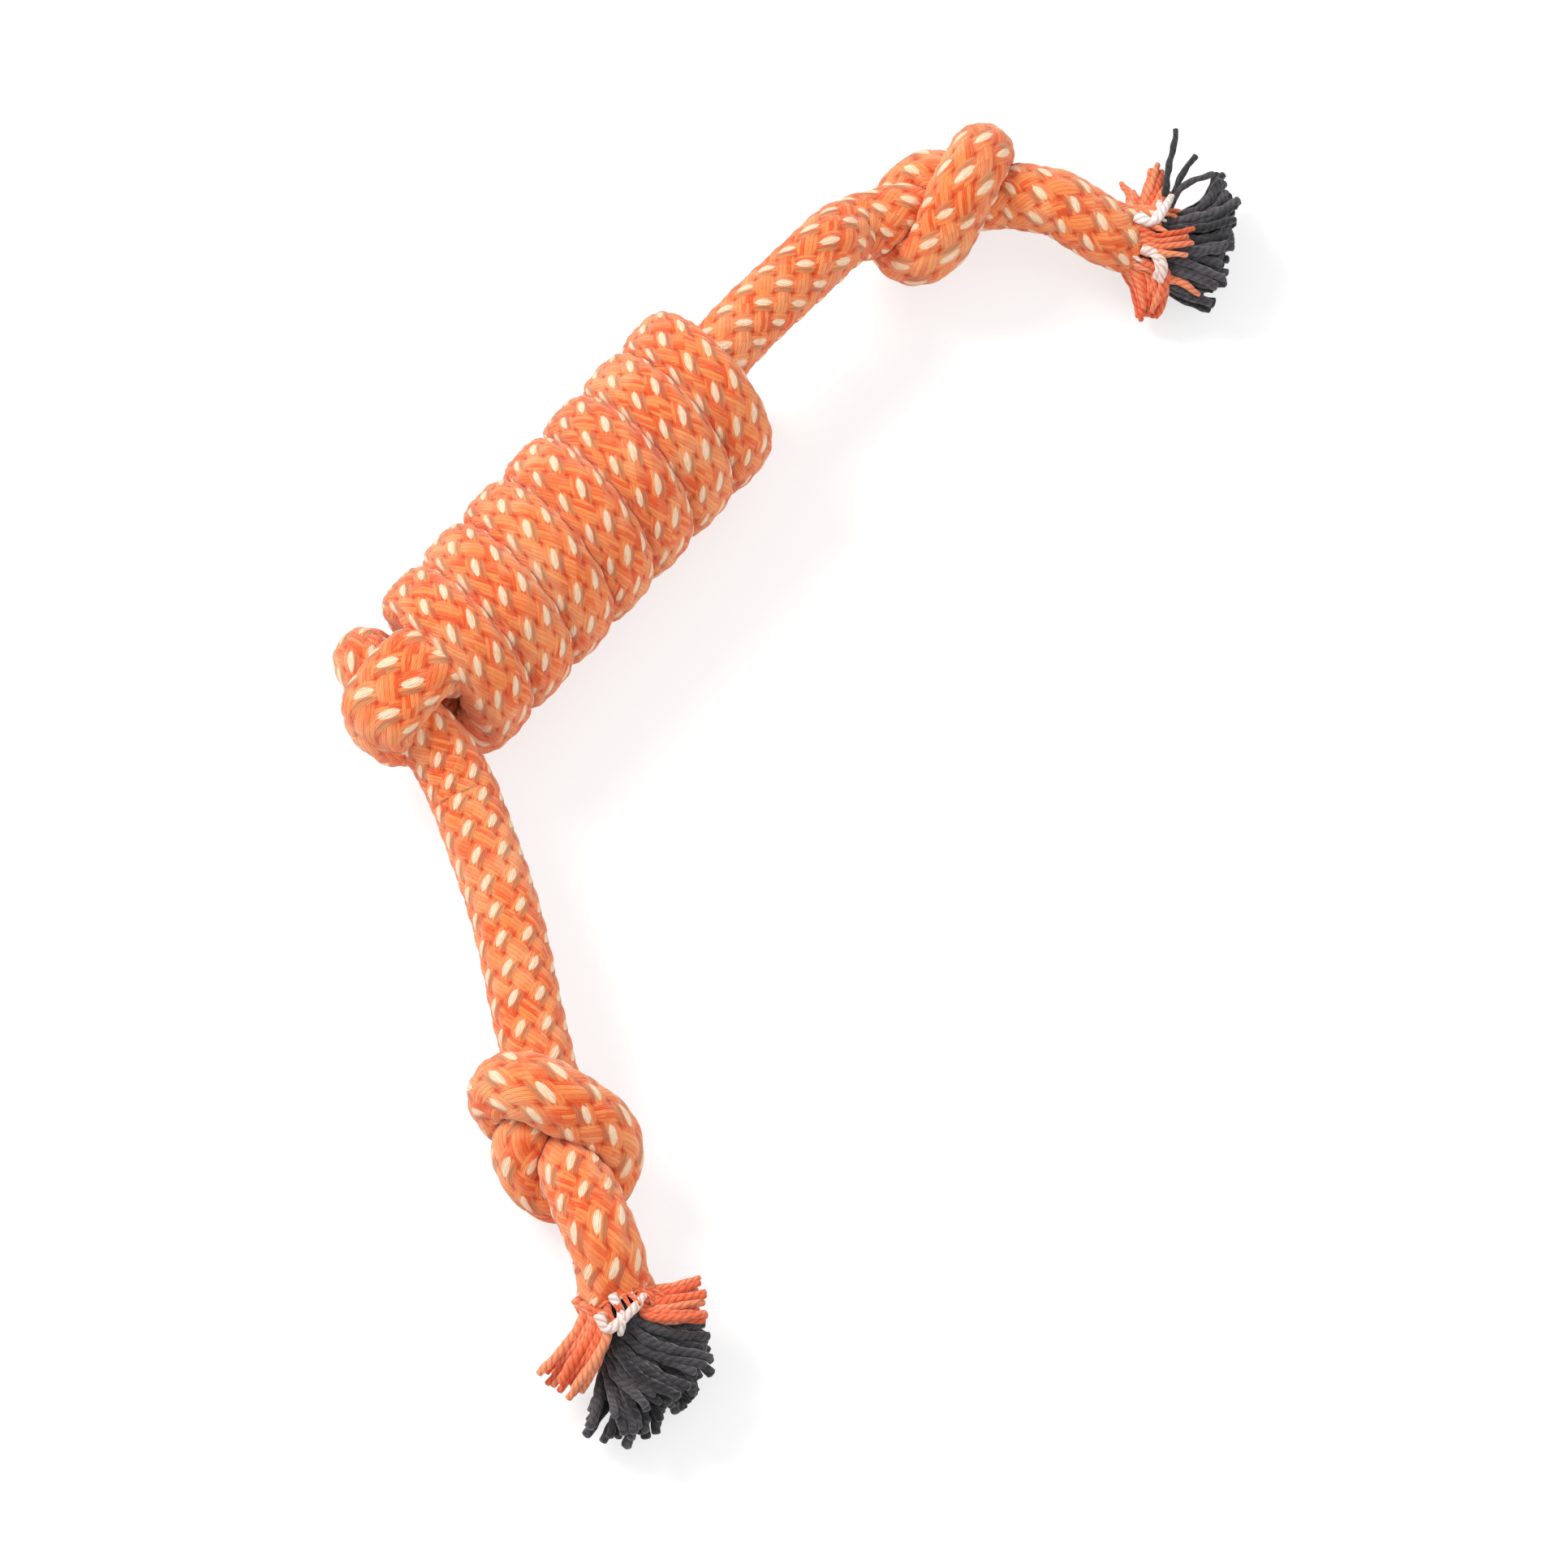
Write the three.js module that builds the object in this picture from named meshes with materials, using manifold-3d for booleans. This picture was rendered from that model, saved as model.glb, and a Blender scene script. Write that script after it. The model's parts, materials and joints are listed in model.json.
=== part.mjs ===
// Rope dog toy, in millimetres, +Z up.
// One braided cotton rope is wound over itself into a bar. A leg leaves each end of the bar,
// carries an overhand knot, and ends in a short tail whose sheath and core yarns are frayed.
// The origin is on the flat underside of the middle turn. +X runs along the bar to the far leg.
import * as THREE from 'three';
import Module from 'manifold-3d';
import { mergeVertices } from 'three/addons/utils/BufferGeometryUtils.js';

// Rope
const ropeDiameter = 10;
const coreYarnDiameter = 6.4;
const fitGap = 0.3;
const flatShare = 0.1;

// Bar of turns
const windingTurns = 7;
const turnPitch = 9.1;
const turnWidth = 8.5;
const turnThickness = 8.5;
const coreBundleDiameter = 10;
const farStubLift = 4.6;
const farStubSide = 1;
const originTurn = 4;

// Strands squeezed inside the bar, and the bight that they form at the near end
const bundleSplitGap = 0.3;
const bightThickness = 3.6;
const bightWidth = 9.4;
const bightThroatWidth = 6.6;
const tuckWidth = 7;
const tuckHeight = 8;

// Knots
const knotStrandSpacing = 7.6;
const knotStrandGap = 0.55;
const knotEntryReach = 13.6;
const knotExitReach = 18.8;

// Flexing places along each leg
const pivotLoosenessShare = 0.11;
const neckLength = 13;
const nearLegLength = 38.1;
const farLegLength = 24.9;
const nearTailLength = 14;
const farTailLength = 15.5;
const tailClearance = 2.5;
const legBendShare = 0.38;
const tailRootLength = 8.5;

// Frayed ends
const frayStrandsPerEnd = 30;
const frayInnerStrandsPerEnd = 24;
const brushStrandsPerEnd = 100;
const frayStrandLength = 7;
const brushStrandLength = 14;
const frayStrandWidth = 0.7;
const brushStrandWidth = 0.5;
const brushSlice = 2.5;

// Facets
const ropeSides = 12;
const turnSides = 8;
const stepsPerTurn = 24;
const roundEndSteps = 4;
const strandSides = 3;
const knotPoints = 61;

const fullTurn = 2 * Math.PI;
const quarterTurn = fullTurn / 4;
const halfStep = 0.5;
const overrun = 2;
const weldTolerance = 1e-4;
const edgeShares = [0, 0.25, 0.5, 0.75];

const ropeRadius = ropeDiameter / 2;
const coreRadius = coreYarnDiameter / 2;
const boreRadius = coreRadius + fitGap;
const flatDepth = ropeDiameter * flatShare;
const windingRadius = coreBundleDiameter / 2 + fitGap + turnThickness / 2;
const barAxisHeight = windingRadius + turnThickness / 2 - flatDepth;
const cupRadius = ropeRadius * (1 + pivotLoosenessShare) + fitGap;

const wasm = await Module();
wasm.setup();

const xAxis = new THREE.Vector3(1, 0, 0);
const yAxis = new THREE.Vector3(0, 1, 0);
const zAxis = new THREE.Vector3(0, 0, 1);

function toSolid(geometry) {
  const bare = geometry.clone();
  bare.deleteAttribute('normal');
  bare.deleteAttribute('uv');
  const merged = mergeVertices(bare, weldTolerance);
  return new wasm.Manifold(new wasm.Mesh({
    numProp: 3,
    vertProperties: new Float32Array(merged.attributes.position.array),
    triVerts: new Uint32Array(merged.index.array),
  }));
}

function toGeometry(solid) {
  const mesh = solid.getMesh();
  const geometry = new THREE.BufferGeometry();
  geometry.setAttribute('position', new THREE.BufferAttribute(new Float32Array(mesh.vertProperties), 3));
  geometry.setIndex(new THREE.BufferAttribute(new Uint32Array(mesh.triVerts), 1));
  geometry.computeVertexNormals();
  return geometry;
}

// A closed body through rings of equally many points, each ring turning about the way forward.
function skin(rings) {
  const count = rings[0].length;
  const positions = rings.flat().flatMap((point) => point.toArray());
  const indices = [];
  for (let ring = 0; ring < rings.length - 1; ring += 1) {
    for (let k = 0; k < count; k += 1) {
      const here = ring * count + k;
      const next = ring * count + (k + 1) % count;
      indices.push(here, next, next + count, here, next + count, here + count);
    }
  }
  const lastRing = (rings.length - 1) * count;
  const startPole = positions.length / 3;
  positions.push(...middle(rings[0]).toArray(), ...middle(rings.at(-1)).toArray());
  for (let k = 0; k < count; k += 1) {
    const next = (k + 1) % count;
    indices.push(startPole, next, k, startPole + 1, lastRing + k, lastRing + next);
  }
  const geometry = new THREE.BufferGeometry();
  geometry.setAttribute('position', new THREE.BufferAttribute(new Float32Array(positions), 3));
  geometry.setIndex(indices);
  return toSolid(geometry);
}

function middle(points) {
  const sum = new THREE.Vector3();
  points.forEach((point) => sum.add(point));
  return sum.divideScalar(points.length);
}

// A ring whose flats lie at the half width along `side` and the half height along `up`.
function flatSidedRing(station, sides) {
  const reach = 1 / Math.cos(fullTurn / 2 / sides);
  return Array.from({ length: sides }, (_, k) => {
    const angle = fullTurn * (k + halfStep) / sides;
    return station.point.clone()
      .addScaledVector(station.side, station.halfWidth * reach * Math.cos(angle))
      .addScaledVector(station.up, station.halfHeight * reach * Math.sin(angle));
  });
}

function roundRing(station, radius, along, sides) {
  return Array.from({ length: sides }, (_, k) => {
    const angle = fullTurn * k / sides;
    return station.point.clone()
      .addScaledVector(station.forward, along)
      .addScaledVector(station.side, radius * Math.cos(angle))
      .addScaledVector(station.up, radius * Math.sin(angle));
  });
}

// Stations along a row of points: each has the way forward and two square directions that
// are carried along without twisting, starting from the given `up`.
function stationsAlong(points, firstUp, tangents = []) {
  const up = firstUp.clone();
  return points.map((point, k) => {
    const before = points[Math.max(k - 1, 0)];
    const after = points[Math.min(k + 1, points.length - 1)];
    const forward = tangents[k] ?? new THREE.Vector3().subVectors(after, before).normalize();
    up.addScaledVector(forward, -up.dot(forward)).normalize();
    const side = new THREE.Vector3().crossVectors(up, forward);
    return { point: point.clone(), forward, up: up.clone(), side };
  });
}

function uprightFor(direction) {
  return Math.abs(direction.z) > Math.abs(direction.y) ? yAxis : zAxis;
}

// The rounding of a rod's end on a sphere about its pivot, from the pole out to the rod's edge.
function roundedEnd(sphereRadius, rodRadius) {
  const widest = Math.asin(Math.min(1, rodRadius / sphereRadius));
  return Array.from({ length: roundEndSteps }, (_, k) => {
    const angle = widest * (k + 1) / roundEndSteps;
    return { along: -sphereRadius * Math.cos(angle), radius: sphereRadius * Math.sin(angle) };
  });
}

function stationsOn(curve, steps) {
  const points = curve.getSpacedPoints(steps);
  const tangents = points.map((_, k) => curve.getTangentAt(k / steps));
  return stationsAlong(points, uprightFor(tangents[0]), tangents);
}

// A round rod along a curve. A ball starts on the curve's start, a cup is hollowed about its end.
function rod(curve, radius, stepLength, ends = {}) {
  const stations = stationsOn(curve, Math.max(2, Math.round(curve.getLength() / stepLength)));
  const first = stations[0];
  const last = stations.at(-1);
  const rings = stations.map((station) => roundRing(station, radius, 0, ropeSides));
  if (ends.ball) {
    if (radius === ropeRadius) rings.shift();
    rings.unshift(...roundedEnd(ropeRadius, radius)
      .map((end) => roundRing(first, end.radius, end.along, ropeSides)));
  }
  if (ends.cup) {
    rings.pop();
    rings.push(...roundedEnd(cupRadius, radius).reverse()
      .map((end) => roundRing(last, end.radius, end.along, ropeSides)));
  }
  if (ends.before) rings.unshift(roundRing(first, radius, -ends.before, ropeSides));
  if (ends.after) rings.push(roundRing(last, radius, ends.after, ropeSides));
  return skin(rings);
}

function sheathAndCore(curve, stepLength, ends) {
  const bore = rod(curve, boreRadius, stepLength, {
    before: (ends.ball ? ropeRadius : 0) + overrun,
    after: overrun,
  });
  return {
    sheath: rod(curve, ropeRadius, stepLength, ends).subtract(bore),
    core: rod(curve, coreRadius, stepLength, ends),
  };
}

const floorSize = 600;
const belowFloor = toSolid(new THREE.BoxGeometry(floorSize, floorSize, floorSize)
  .translate(0, 0, -floorSize / 2));

// The least space between a tube and itself, on points along its rings' edges, beyond the
// stretch where it is bound to be near.
function leastGap(rings, bindingLength) {
  const travelled = [0];
  const centres = rings.map(middle);
  for (let k = 1; k < rings.length; k += 1) {
    travelled.push(travelled[k - 1] + centres[k].distanceTo(centres[k - 1]));
  }
  const dense = rings.map((ring) => ring.flatMap((point, k) => {
    const next = ring[(k + 1) % ring.length];
    return edgeShares.map((share) => point.clone().lerp(next, share));
  }));
  let least = Infinity;
  dense.forEach((ring, i) => {
    for (let j = i + 1; j < dense.length; j += 1) {
      const worthALook = centres[i].distanceTo(centres[j]) < 2 * ropeDiameter;
      if (worthALook && travelled[j] - travelled[i] > bindingLength) {
        ring.forEach((a) => dense[j].forEach((b) => {
          least = Math.min(least, a.distanceTo(b));
        }));
      }
    }
  });
  return least;
}

// The winding: one unbroken tube. It comes out of the bundle at the far end in an elbow, makes
// the turns of a left-handed helix, and is tucked through the bight at the near end.
const barAxis = new THREE.Vector3(0, 0, barAxisHeight);

function helixPoint(turns) {
  const angle = fullTurn * turns - quarterTurn;
  return new THREE.Vector3(
    -turnPitch * turns,
    windingRadius * Math.cos(angle),
    barAxisHeight + windingRadius * Math.sin(angle),
  );
}

function polarPoint(x, radiusShare, degrees) {
  const angle = THREE.MathUtils.degToRad(degrees);
  return new THREE.Vector3(
    x,
    windingRadius * radiusShare * Math.cos(angle),
    barAxisHeight + windingRadius * radiusShare * Math.sin(angle),
  );
}

const elbowTurnShare = 0.125;
const tuckTurnShare = 0.06;
const helixStart = -originTurn + elbowTurnShare;
const helixEnd = windingTurns - originTurn + tuckTurnShare;
const farTurnX = -turnPitch * helixStart;
const lastTurnX = -turnPitch * (windingTurns - originTurn);

// Places along the bar in shares of a turn's width, beside it in shares of the winding's radius.
const elbowShares = [
  { along: -0.24, beside: 0.55, degrees: -112 },
  { along: -0.12, beside: 0.55, degrees: -112 },
  { along: 0.11, beside: 0.62, degrees: -107 },
  { along: 0.22, beside: 0.8, degrees: -92 },
  { along: 0.22, beside: 0.96, degrees: -70 },
];
const elbowRoute = elbowShares.map(({ along, beside, degrees }) => (
  polarPoint(farTurnX + along * turnWidth, beside, degrees)));
elbowRoute.push(helixPoint(helixStart));

const tuckShares = [
  [-0.16, 0.62, -0.83],
  [-0.28, 0.97, -0.43],
  [-0.51, 1.04, 0.03],
  [-0.76, 0.8, 0.34],
  [-0.94, 0.44, 0.43],
  [-0.99, 0.06, 0.43],
  [-1, -0.36, 0.39],
  [-1.05, -0.77, 0.27],
  [-1.18, -1.21, 0.12],
  [-1.42, -1.7, 0],
];

function barPoint(alongShare, besideShare, upShare) {
  return new THREE.Vector3(
    lastTurnX + alongShare * turnWidth,
    besideShare * windingRadius,
    barAxisHeight + upShare * windingRadius,
  );
}

const tuckRoute = [helixPoint(helixEnd), ...tuckShares.map((shares) => barPoint(...shares))];
const nearPivot = tuckRoute.at(-1);
const tuckX = tuckRoute[6].x;
const tuckHeightOverAxis = tuckRoute[6].z - barAxisHeight;

function windingStations() {
  const elbow = new THREE.CatmullRomCurve3(elbowRoute).getSpacedPoints(9);
  const tuck = new THREE.CatmullRomCurve3(tuckRoute).getSpacedPoints(14);
  const helixSteps = Math.round((helixEnd - helixStart) * stepsPerTurn);
  const helix = Array.from({ length: helixSteps - 1 }, (_, k) => (
    helixPoint(helixStart + (helixEnd - helixStart) * (k + 1) / helixSteps)));
  const points = [...elbow, ...helix, ...tuck];
  const firstHelix = elbow.length;
  const firstTuck = elbow.length + helix.length;
  const stations = points.map((point, k) => {
    const before = points[Math.max(k - 1, 0)];
    const after = points[Math.min(k + 1, points.length - 1)];
    const forward = new THREE.Vector3().subVectors(after, before).normalize();
    const along = new THREE.Vector3(-1, 0, 0);
    const side = along.addScaledVector(forward, -along.dot(forward)).normalize();
    const up = new THREE.Vector3().crossVectors(forward, side);
    return { point, forward, side, up, halfWidth: turnWidth / 2, halfHeight: turnThickness / 2 };
  });
  for (let k = firstHelix - 1; k >= 0; k -= 1) {
    const station = stations[k];
    const up = stations[k + 1].up.clone();
    station.up = up.addScaledVector(station.forward, -up.dot(station.forward)).normalize();
    station.side = new THREE.Vector3().crossVectors(station.up, station.forward);
  }
  const squeezedFrom = 0.4;
  const squeezedUntil = 0.62;
  stations.slice(firstTuck).forEach((station, k, all) => {
    const share = k / (all.length - 1);
    const release = THREE.MathUtils.smoothstep(share, squeezedUntil, 1);
    const squeeze = THREE.MathUtils.smoothstep(share, 0, squeezedFrom) * (1 - release);
    const narrowed = turnWidth + (tuckWidth - turnWidth) * squeeze;
    station.halfWidth = (narrowed + (ropeDiameter - turnWidth) * release) / 2;
    station.halfHeight = (turnThickness + (tuckHeight - turnThickness) * squeeze
      + (ropeDiameter - turnThickness) * release) / 2;
  });
  return stations;
}

function flatSidedCup(station, sides) {
  return roundedEnd(cupRadius, ropeRadius).reverse().map((end) => flatSidedRing({
    ...station,
    point: station.point.clone().addScaledVector(station.forward, end.along),
    halfWidth: end.radius,
    halfHeight: end.radius,
  }, sides));
}

function makeWinding() {
  const stations = windingStations();
  const rings = stations.slice(0, -1).map((station) => flatSidedRing(station, turnSides));
  console.log(`winding: least gap to itself ${leastGap(rings, 2 * turnWidth).toFixed(2)} mm`);
  rings.push(...flatSidedCup(stations.at(-1), turnSides));
  return skin(rings).subtract(belowFloor);
}

// The two strands inside the bar are squeezed into half rounds.
const farBundleX = elbowRoute[0].x - fitGap;
const nearUpperX = -turnPitch * (windingTurns - originTurn - halfStep) - turnWidth / 4;
const nearLowerX = lastTurnX - turnWidth / 2;
const farLegX = farTurnX + turnWidth / 3;
const farPivot = new THREE.Vector3(farLegX + cupRadius + overrun, farStubSide, barAxisHeight + farStubLift);
const halfRoundPoints = 9;
const strandIntoStub = 1;

function halfRoundStrand(fromX, toX, sign) {
  const radius = coreBundleDiameter / 2;
  const floor = bundleSplitGap / 2;
  const low = Math.asin(floor / radius);
  const rings = [fromX, toX].map((x) => Array.from({ length: halfRoundPoints }, (_, k) => {
    const angle = low + (fullTurn / 2 - 2 * low) * k / (halfRoundPoints - 1);
    const height = barAxisHeight + sign * radius * Math.sin(angle);
    return new THREE.Vector3(x, sign * radius * Math.cos(angle), height);
  }));
  return skin(rings);
}

function makeUpperStrand() {
  const stub = new THREE.LineCurve3(new THREE.Vector3(farLegX, farPivot.y, farPivot.z), farPivot);
  return halfRoundStrand(nearUpperX, farLegX + strandIntoStub, 1)
    .add(rod(stub, ropeRadius, ropeDiameter, { cup: true }));
}

const strandHeight = coreBundleDiameter / 4;
const bightTopHeight = tuckHeightOverAxis + tuckHeight / 2 + 2 * fitGap + bightThickness / 2;
const bightNearX = tuckX - tuckWidth / 2 - 2 * fitGap - bightThickness / 2;
const lastCrestX = -turnPitch * (windingTurns - originTurn - halfStep) - turnWidth / 2;
const bightDescentX = (tuckX + tuckWidth / 2 + lastCrestX) / 2;
const bightLoopShares = {
  low: [[0.12, 0], [-0.38, 0.04], [-0.76, 0.25]],
  high: [[-0.78, 0.78], [-0.07, 1], [0.36, 1], [0.68, 0.84]],
  down: [[0, 0.57], [0.13, 0.33]],
};

// A place on the bight: along the bar from the tuck, and up from the lower strand to the top.
function bightPoint(alongShare, riseShare) {
  return new THREE.Vector3(
    tuckX + alongShare * turnWidth,
    0,
    barAxisHeight - strandHeight + riseShare * (bightTopHeight + strandHeight),
  );
}

const bightRoute = [
  new THREE.Vector3(nearLowerX - fitGap, 0, barAxisHeight - strandHeight),
  ...bightLoopShares.low.map((shares) => bightPoint(...shares)),
  new THREE.Vector3(bightNearX, 0, barAxisHeight + bightTopHeight / 2),
  ...bightLoopShares.high.map((shares) => bightPoint(...shares)),
  ...bightLoopShares.down.map(([alongShare, riseShare]) => new THREE.Vector3(
    bightDescentX + alongShare * turnWidth,
    0,
    barAxisHeight + riseShare * bightTopHeight,
  )),
  new THREE.Vector3(nearUpperX - bightThickness / 2, 0, barAxisHeight + strandHeight),
  new THREE.Vector3(nearUpperX - 1.5 * fitGap, 0, barAxisHeight + strandHeight),
];

const bightPoints = 26;
const bightWidenShares = [0.04, 0.2];
const bightNarrowShares = [0.8, 0.97];

function makeBight() {
  const points = new THREE.CatmullRomCurve3(bightRoute, false, 'centripetal').getSpacedPoints(bightPoints);
  const rings = stationsAlong(points, zAxis).map((station, k, all) => {
    const share = k / (all.length - 1);
    const widened = THREE.MathUtils.smoothstep(share, ...bightWidenShares);
    const spread = widened * (1 - THREE.MathUtils.smoothstep(share, ...bightNarrowShares));
    const width = bightThroatWidth + (bightWidth - bightThroatWidth) * spread;
    return flatSidedRing({ ...station, halfWidth: width / 2, halfHeight: bightThickness / 2 }, turnSides);
  });
  return skin(rings);
}

// An overhand knot, drawn tight: a loose route is pulled at both ends while no two places of the
// rope come nearer than its thickness, and no bend gets sharper than its own limit.
const knotLengthShare = 20;
const knotPulledShare = 10.1;
const knotBendShare = 0.6;
const knotInnerBendShare = 0.88;
const looseKnotShares = { turn: 2.2, width: 0.5, height: 0.32, depth: 0.82, fifth: 0.2 };

function tightKnotShares() {
  const spacing = knotLengthShare / (knotPoints - 1);
  const apart = Array.from({ length: knotPoints }, (_, k) => (
    Math.min(1, 2 * knotBendShare * Math.sin(Math.min(k * spacing / 2 / knotBendShare, quarterTurn)))));
  const points = Array.from({ length: knotPoints }, (_, k) => {
    const t = looseKnotShares.turn * (2 * k / (knotPoints - 1) - 1);
    return new THREE.Vector3(
      looseKnotShares.width * (t ** 3 - 3 * t),
      looseKnotShares.height * (t ** 4 - 4 * t ** 2),
      looseKnotShares.depth * (looseKnotShares.fifth * t ** 5 - 2 * t),
    );
  });
  const middleOfEnds = middle([points[0], points.at(-1)]);
  const pullWay = points.at(-1).clone().sub(middleOfEnds).normalize();
  const ontoX = new THREE.Quaternion().setFromUnitVectors(pullWay, xAxis);
  points.forEach((point) => point.sub(middleOfEnds).applyQuaternion(ontoX));
  const looseSpan = points[0].distanceTo(points.at(-1));
  const pullRounds = 1500;
  const holdRounds = 300;
  const passesPerRound = 4;
  for (let round = 0; round < pullRounds + holdRounds; round += 1) {
    const pull = Math.min(1, round / pullRounds);
    const span = looseSpan + (knotPulledShare - looseSpan) * pull;
    for (let pass = 0; pass < passesPerRound; pass += 1) {
      points[0].set(-span / 2, 0, 0);
      points.at(-1).set(span / 2, 0, 0);
      keepLengths(points, spacing);
    }
    pushApart(points, apart);
  }
  return points;
}

function keepLengths(points, spacing) {
  for (let k = 0; k < points.length - 1; k += 1) {
    const link = new THREE.Vector3().subVectors(points[k + 1], points[k]);
    link.multiplyScalar((link.length() - spacing) / link.length() / 2);
    if (k > 0) points[k].add(link);
    if (k < points.length - 2) points[k + 1].sub(link);
  }
}

function pushApart(points, apart) {
  for (let i = 0; i < points.length; i += 1) {
    for (let j = i + 2; j < points.length; j += 1) {
      const between = new THREE.Vector3().subVectors(points[j], points[i]);
      const wanted = apart[j - i];
      if (between.length() < wanted) {
        between.multiplyScalar((wanted - between.length()) / between.length() / 2);
        points[i].sub(between);
        points[j].add(between);
      }
    }
  }
}

const knotShares = tightKnotShares();

// Soft rope squeezed in its knot: each ring reaches out to the rope's radius, or only half-way to
// the strand next to it, less half the gap between them. In a bend it stops short of the middle.
function squeezedRing(stations, travelled, i) {
  const station = stations[i];
  return Array.from({ length: ropeSides }, (_, k) => {
    const angle = fullTurn * k / ropeSides;
    const outward = station.side.clone().multiplyScalar(Math.cos(angle))
      .addScaledVector(station.up, Math.sin(angle));
    let reach = ropeRadius;
    stations.forEach((other, j) => {
      const between = new THREE.Vector3().subVectors(other.point, station.point);
      const along = between.dot(outward);
      if (along <= 0) return;
      const halfWay = between.lengthSq() / 2 / along;
      const sameBend = Math.abs(travelled[j] - travelled[i]) < 2 * knotStrandSpacing;
      const gapShare = between.length() / along / 2;
      reach = Math.min(reach, sameBend ? knotInnerBendShare * halfWay : halfWay - knotStrandGap * gapShare);
    });
    return station.point.clone().addScaledVector(outward, reach);
  });
}

function distancesAlong(points) {
  const travelled = [0];
  for (let k = 1; k < points.length; k += 1) {
    travelled.push(travelled[k - 1] + points[k].distanceTo(points[k - 1]));
  }
  return travelled;
}

// The knot in place: the part of the tight route near the knot, rolled about the pull, turned to
// its heading and set down with its lowest bulge cut flat on the ground.
function placeKnot(centre, headingDegrees, rollDegrees) {
  const turn = new THREE.Quaternion().setFromAxisAngle(zAxis, THREE.MathUtils.degToRad(headingDegrees))
    .multiply(new THREE.Quaternion().setFromAxisAngle(xAxis, THREE.MathUtils.degToRad(rollDegrees)));
  const points = knotShares
    .map((share) => share.clone().multiplyScalar(knotStrandSpacing))
    .filter((point) => point.x >= -knotEntryReach && point.x <= knotExitReach)
    .map((point) => point.applyQuaternion(turn));
  points.splice(-2, 1);
  const stations = stationsAlong(points, zAxis);
  const travelled = distancesAlong(points);
  const rings = stations.slice(0, -1).map((_, i) => squeezedRing(stations, travelled, i));
  const last = stations.at(-1);
  roundedEnd(cupRadius, ropeRadius).reverse()
    .forEach((end) => rings.push(roundRing(last, end.radius, end.along, ropeSides)));
  const box = new THREE.Box3().setFromPoints(rings.flat());
  const middleOfBox = box.getCenter(new THREE.Vector3());
  const shift = new THREE.Vector3(centre.x - middleOfBox.x, centre.y - middleOfBox.y, -box.min.z - flatDepth);
  rings.flat().forEach((point) => point.add(shift));
  stations.forEach((station) => station.point.add(shift));
  return { stations, rings };
}

function makeKnot(rings, name) {
  console.log(`${name}: least gap to itself ${leastGap(rings, 2 * ropeDiameter).toFixed(2)} mm`);
  return skin(rings).subtract(belowFloor);
}

const unevenStride = 7;
const unevenCount = 5;

// Frayed yarns: tapered strands set in rows round the rope's end and fanned out, none crossing.
function makeStrand(base, direction, width, length) {
  const side = new THREE.Vector3().crossVectors(zAxis, direction).normalize();
  const up = new THREE.Vector3().crossVectors(direction, side);
  const frame = { point: base, forward: direction, side, up };
  const tipShare = 0.55;
  return skin([
    roundRing(frame, width / 2, -overrun / 4, strandSides),
    roundRing(frame, width * tipShare / 2, length, strandSides),
  ]);
}

function fan(station, seats, strand) {
  const heading = station.forward.clone().setZ(0).normalize();
  return seats.map((seat, k) => {
    const base = station.point.clone()
      .addScaledVector(station.side, seat.radius * Math.cos(seat.angle))
      .addScaledVector(station.up, seat.radius * Math.sin(seat.angle));
    const rise = Math.sin(seat.angle) < 0 ? strand.drop : strand.spread;
    const direction = heading.clone()
      .addScaledVector(station.side, strand.spread * seat.radiusShare * Math.cos(seat.angle))
      .addScaledVector(zAxis, rise * seat.radiusShare * Math.sin(seat.angle))
      .normalize();
    const shorter = strand.unevenShare * ((k * unevenStride) % unevenCount) / unevenCount;
    const length = strand.length * (1 - shorter);
    return makeStrand(base, direction, strand.width, length);
  });
}

function ringSeats(count, radius, radiusShare, turnShare) {
  return Array.from({ length: count }, (_, k) => (
    { radius, radiusShare, angle: fullTurn * (k + turnShare) / count }));
}

function discSeats(count, radius) {
  const goldenTurn = Math.PI * (3 - Math.sqrt(5));
  return Array.from({ length: count }, (_, k) => {
    const share = Math.sqrt((k + halfStep) / count);
    return { radius: radius * share, radiusShare: share, angle: goldenTurn * k };
  });
}

function makeTassel(curve) {
  const ends = { ball: true };
  const pair = sheathAndCore(curve, ropeDiameter / 2, ends);
  const last = stationsOn(curve, 2).at(-1);
  const wallMiddle = (ropeRadius + boreRadius) / 2;
  const drop = (last.point.z - ropeRadius - frayStrandWidth) / frayStrandLength;
  const fray = { width: frayStrandWidth, length: frayStrandLength, spread: 0.62, unevenShare: 0.45, drop };
  const brush = { width: brushStrandWidth, length: brushStrandLength, spread: 0.5, unevenShare: 0.25, drop };
  const slice = {
    ...last,
    point: last.point.clone().addScaledVector(last.forward, brushSlice),
  };
  const core = pair.core.add(skin([
    roundRing(last, coreRadius, -fitGap, ropeSides),
    roundRing(last, coreRadius, brushSlice, ropeSides),
  ]));
  const wallQuarter = (ropeRadius - boreRadius) / 4;
  const seats = [
    ...ringSeats(frayStrandsPerEnd, wallMiddle + wallQuarter, 1, 0),
    ...ringSeats(frayInnerStrandsPerEnd, wallMiddle - wallQuarter, 0.6, halfStep),
  ];
  return {
    fray: fan(last, seats, fray)
      .reduce((whole, strand) => whole.add(strand), pair.sheath),
    brush: fan(slice, discSeats(brushStrandsPerEnd, coreRadius - brushStrandWidth / 2), brush)
      .reduce((whole, strand) => whole.add(strand), core),
  };
}

const cotton = new THREE.MeshStandardMaterial({ color: 0xf07828, roughness: 0.92, metalness: 0 });
const blackYarn = new THREE.MeshStandardMaterial({ color: 0x26262a, roughness: 0.9, metalness: 0 });
const toy = new THREE.Group();
toy.name = 'rope_dog_toy';

function addMesh(name, solid, material) {
  const mesh = new THREE.Mesh(toGeometry(solid), material);
  mesh.name = name;
  toy.add(mesh);
}

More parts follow.
